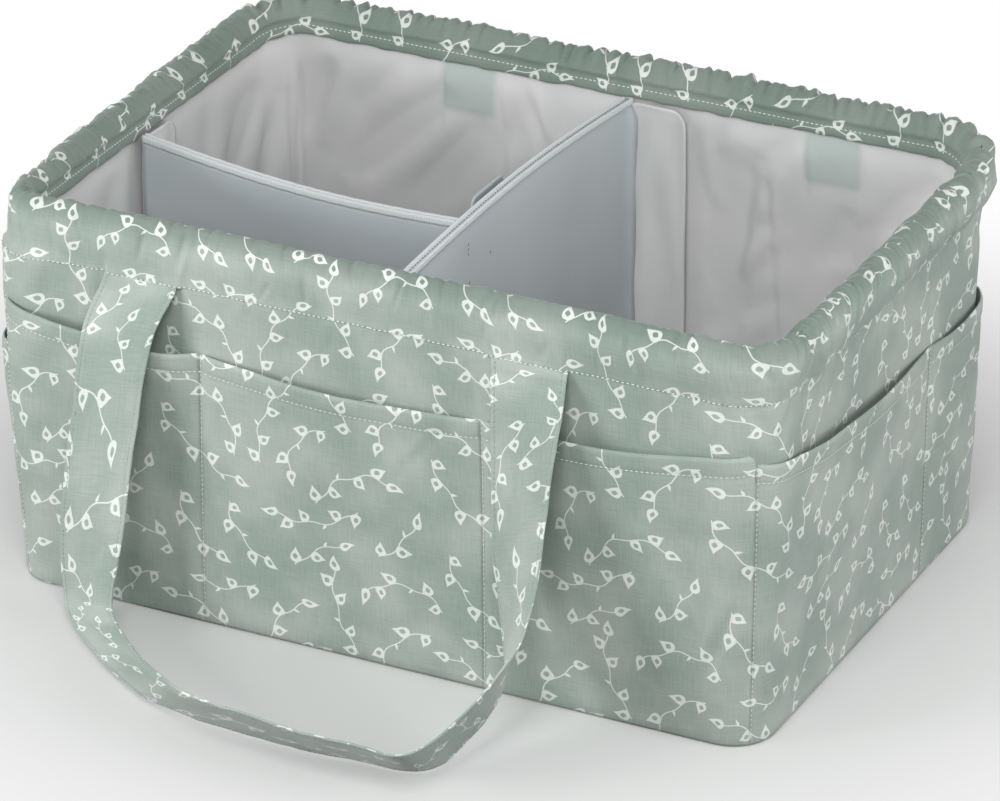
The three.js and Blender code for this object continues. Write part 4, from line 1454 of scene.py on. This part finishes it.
TAPE_WIDTH, TAPE_LOW, TAPE_HIGH = 20 * MM, 0.086, 0.176
WING_DEPTH, HOOK_DEPTH, LOOP_DEPTH = 11.0 * MM, 9.9 * MM, 8.4 * MM


def tape_patch(name, spot, body, node):
    """A strip of hook or loop tape. All the strips are cut to one size."""
    patch(
        name, TAPE_WIDTH, TAPE_LOW, TAPE_HIGH, spot, 2 * MM, TAPE, body, [node],
        1.0 * MM, seam=1.6 * MM,
    )


cross_near = CROSS_X - SLEEVE_HALF
short_near = SHORT_LEFT_Y - SLEEVE_HALF
wing_places = [
    ("cross_divider", "front", cross_near + WING_WIDTH / 2),
    ("cross_divider", "back", BACK - cross_near - WING_WIDTH / 2),
    ("short_divider", "left", LEFT_MIDDLE - short_near - WING_WIDTH / 2),
]
for owner, label, middle in wing_places:
    patch(
        f"{owner}_flap_{label}", WING_WIDTH, DIVIDER_FOOT, WING_TOP, on_wall(middle, WING_DEPTH), 9 * MM,
        LINING, owner, [f"{owner}_wing_{label}"], 0.6 * MM, seam=3.2 * MM, waves=2.4 * MM,
    )
    tape_patch(f"{owner}_hooks_{label}", on_wall(middle, HOOK_DEPTH), owner, f"{owner}_hook_tape_{label}")
    tape_patch(f"loops_{label}", on_wall(middle, LOOP_DEPTH), "caddy", f"loop_tape_{label}")


def on_cross(node):
    """Flat patches that face the short divider stand upright along Y, where their node is."""
    low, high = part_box(node)
    middle = (low.y + high.y) / 2
    return lambda x, z, dent: Vector((low.x + dent, middle - x, z))


patch(
    "short_divider_flap_right", WING_WIDTH, DIVIDER_FOOT, INNER_WING_TOP,
    on_cross("short_divider_wing_right"), 5 * MM, DIVIDER, "short_divider",
    ["short_divider_wing_right"], 0.6 * MM, seam=2.6 * MM,
)
for name, owner, node in (
    ("short_divider_hooks_right", "short_divider", "short_divider_hook_tape_right"),
    ("cross_divider_loops", "cross_divider", "cross_divider_loop_tape"),
):
    tape_patch(name, on_cross(node), owner, node)

# %% [markdown]
# **Stitches.** Lockstitch lies on the cloth as a row of short threads that dive in at both
# ends. One small flattened ball, drawn out along the row, is enough for each. A row follows
# a list of points, and the way out from the cloth at each of them.

# %% Stitching
STITCH_PITCH, STITCH_LENGTH, STITCH_WIDTH = 2.5 * MM, 1.9 * MM, 0.62 * MM
STITCH_BATCH = 24


def stitch_places(points, outs, pitch=STITCH_PITCH, length=STITCH_LENGTH, width=STITCH_WIDTH):
    """A matrix for each stitch of a row: where it lies, how it points and its size."""
    places, gone, goal = [], 0.0, pitch / 2
    for (a, b), out in zip(zip(points, points[1:]), outs):
        step = (b - a).length
        while step > 0 and gone + step >= goal:
            along = (b - a).normalized()
            side = out.cross(along).normalized()
            up = along.cross(side).normalized()
            turn = Matrix((along * length / 2, side * width / 2, up * width * 0.36)).transposed().to_4x4()
            places.append(Matrix.Translation(a.lerp(b, (goal - gone) / step)) @ turn)
            goal += pitch
        gone += step
    return places


def stitching(name, rows, material, slot, body, **settings):
    """All the stitches of some rows as one mesh, made a few at a time because that is quicker."""
    places = [place for points, outs in rows for place in stitch_places(points, outs, **settings)]
    whole = bmesh.new()
    for first in range(0, len(places), STITCH_BATCH):
        few = bmesh.new()
        for place in places[first:first + STITCH_BATCH]:
            bmesh.ops.create_uvsphere(few, u_segments=6, v_segments=4, radius=1.0, matrix=place)
        batch = bpy.data.meshes.new("stitches")
        few.to_mesh(batch)
        few.free()
        whole.from_mesh(batch)
        bpy.data.meshes.remove(batch)
    print(f"{name}: {len(rows)} rows, {len(places)} stitches")
    return finish_mesh(name, whole, material, body)


def ways_out(points):
    """Away from the caddy's middle and square to the nearest wall, for each point."""
    found = []
    for point in points:
        if abs(point.x) / RIM_LENGTH > abs(point.y) / RIM_WIDTH:
            square = Vector((point.x, 0, 0))
        else:
            square = Vector((0, point.y, 0))
        found.append(square.normalized())
    return found


def rim_seam_point(u):
    z = CASING_SEAM - 0.4 * MM
    out = max(wall_out(u, z), 0.9 * MM) + 0.25 * MM + 2.0 * MM * strap_share(u)
    return wall(u, z, out)


RIM_POINTS = 1400
rim_line = [rim_seam_point(i * RING / RIM_POINTS) for i in range(RIM_POINTS + 1)]
inner_line = [rim_point(i / RIM_POINTS, HEM_SEAM) for i in range(RIM_POINTS + 1)]
inner_outs = [-way for way in ways_out(inner_line)]
inner_line = [point + way * 0.35 * MM for point, way in zip(inner_line, inner_outs)]
rim_rows = [(rim_line, ways_out(rim_line)), (inner_line, inner_outs)]
stitching("rim_stitching", rim_rows, THREAD, "printed_cotton", "caddy")
hem_rows = []
seam_rows = []
for pocket in pockets.values():
    line = pocket.path(lambda s, p=pocket: 1 - HEM / p.top(s), 220)
    hem_rows.append((line, ways_out(line)))
    upright = [pocket.point(0.004, step / 160, 0.3 * MM) for step in range(8, 161)]
    seam_rows.append((upright, ways_out(upright)))
stitching("pocket_hem_stitching", hem_rows, THREAD, "printed_cotton", "caddy")
stitching("pocket_seam_stitching", seam_rows, THREAD, "printed_cotton", "caddy", width=0.45 * MM)

STRAP_SEWN = [0.03 + 0.94 * step / STRAP_STEPS for step in range(STRAP_STEPS + 1)]
STRAP_EDGES = (0.139, 0.361, 0.639, 0.861)
for name, mirror in (("front", 1), ("back", -1)):
    rows = []
    for side in STRAP_EDGES:
        line = [strap_point(s, side, 0.12 * MM, mirror) for s in STRAP_SEWN]
        face = [strap_point(s, side, 1.12 * MM, mirror) for s in STRAP_SEWN]
        rows.append((line, [(b - a).normalized() for a, b in zip(line, face)]))
    sewn = stitching(f"{name}_strap_stitching", rows, SAGE_THREAD, "printed_cotton", None, width=0.5 * MM)
    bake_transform(sewn)

for owner, (spot, top, *_) in DIVIDERS.items():
    line = [spot(step / 200, top(step / 200), 0.0) + Vector((0, 0, 0.15 * MM)) for step in range(201)]
    rows = [(line, [Vector((0, 0, 1))] * len(line))]
    stitching(f"{owner}_stitching", rows, GREY_THREAD, "divider_binding", owner)
TACKS = [(-0.057, 0.179, 0.186), (-0.034, 0.1705, 0.1735), (-0.056, 0.164, 0.1665)]
tack_rows = []
for y, low, high in TACKS:
    line = [Vector((CROSS_X + SLEEVE_HALF + 1.1 * MM, y, lerp(low, high, step / 8))) for step in range(9)]
    tack_rows.append((line, [Vector((1, 0, 0))] * len(line)))
stitching("cross_divider_tacks", tack_rows, GREY_THREAD, "divider_fabric", "cross_divider", width=0.5 * MM)

# %% [markdown]
# **Boards.** The stiffening boards are the part's own solids. They are inside the cloth and
# only take their finish here.

# %% Boards
for name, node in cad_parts.items():
    if "board" in name:
        node.data.materials.clear()
        node.data.materials.append(BOARD)

# %% [markdown]
# **Camera.** The view is from the right of the front, about 26 degrees round and 27 degrees
# up, from far away through a long lens, so that the caddy's edges stay nearly parallel.

# %% Camera
CAMERA_AT = Vector((1.1654, -2.3601, 1.3915))
CAMERA_ROUND, CAMERA_UP = math.radians(26.2896), math.radians(26.5428)
camera_data = bpy.data.cameras.new("camera")
camera_data.sensor_width = 36.0
camera_data.lens = 221.6
camera = bpy.data.objects.new("camera", camera_data)
bpy.context.scene.collection.objects.link(camera)
camera_back = Vector((
    math.sin(CAMERA_ROUND) * math.cos(CAMERA_UP), -math.cos(CAMERA_ROUND) * math.cos(CAMERA_UP),
    math.sin(CAMERA_UP),
))
camera.location = CAMERA_AT
camera.rotation_mode = "QUATERNION"
camera.rotation_quaternion = (-camera_back).to_track_quat("-Z", "Y")
bpy.context.scene.camera = camera

# %% [markdown]
# **Light.** A dim white world fills the shadows. Three soft lamps stand low and near, as on a
# product table: one left of the front for the cloth's relief, one above the front that also
# lights the inside, and one on the right. They are so near that the light falls off towards
# the caddy's back. The floor is white card: near the caddy it is lit as it is, so the soft
# shadow shows, and further off the camera sees it as pure white. Light that only bounces
# off it meets a darker card, so that less of it comes back up onto the cloth.

# %% Floor
CARD_LIT, CARD_SEEN = "#8C8C8C", "#DADBDA"
CARD_NEAR, CARD_FAR = 0.13, 0.50
made = bmesh.new()
bmesh.ops.create_grid(made, x_segments=2, y_segments=2, size=6.0)
floor_mesh = bpy.data.meshes.new("floor")
made.to_mesh(floor_mesh)
made.free()
floor = bpy.data.objects.new("floor", floor_mesh)
bpy.context.scene.collection.objects.link(floor)
floor.location.z = -0.2 * MM
material, tree = start_material("white_card")
here = add(tree, "ShaderNodeTexCoord", out=3)
flat_here = add(tree, "ShaderNodeVectorMath", [here, (1.0, 1.0, 0.0)], operation="MULTIPLY")
distance = add(tree, "ShaderNodeVectorMath", [flat_here], out=1, operation="LENGTH")
far = soft_range(tree, distance, CARD_NEAR, CARD_FAR)
seen = seen_directly(tree)
white = add(tree, "ShaderNodeEmission", {"Color": (1, 1, 1, 1), "Strength": 1.0})
tone = mix(tree, seen, linear(CARD_LIT), linear(CARD_SEEN))
card = add(tree, "ShaderNodeBsdfDiffuse", {"Color": tone})
factor = maths(tree, "MULTIPLY", far, seen)
shader = add(tree, "ShaderNodeMixShader", [factor, card, white])
add(tree, "ShaderNodeOutputMaterial", {"Surface": shader})
floor_mesh.materials.append(material)

# %% World and lamps
WORLD_STRENGTH = 0.32
world = bpy.data.worlds.new("studio")
bpy.context.scene.world = world
world.use_nodes = True
tree = world.node_tree
tree.nodes.clear()
seen = seen_directly(tree)
strength = add(tree, "ShaderNodeMapRange", [seen, 0.0, 1.0, WORLD_STRENGTH, 1.0])
sky = add(tree, "ShaderNodeBackground", {"Color": (1, 1, 1, 1), "Strength": strength})
add(tree, "ShaderNodeOutputWorld", {"Surface": sky})


def lamp(name, at, size, watts):
    """A square soft lamp that looks at the caddy's middle."""
    data = bpy.data.lights.new(name, "AREA")
    data.size = size
    data.energy = watts
    lit = bpy.data.objects.new(name, data)
    lit.location = at
    lit.rotation_mode = "QUATERNION"
    lit.rotation_quaternion = (Vector(at) - Vector((0, 0, 0.1))).to_track_quat("Z", "Y")
    bpy.context.scene.collection.objects.link(lit)
    return lit


lamp("key_lamp", (-0.78, -0.92, 0.34), 0.42, 6.8)
lamp("front_lamp", (0.32, -0.92, 0.90), 0.6, 7.4)
lamp("right_lamp", (1.12, -0.10, 0.40), 0.6, 5.0)
bpy.context.scene.view_settings.view_transform = "Standard"

# %% End
print("scene built")
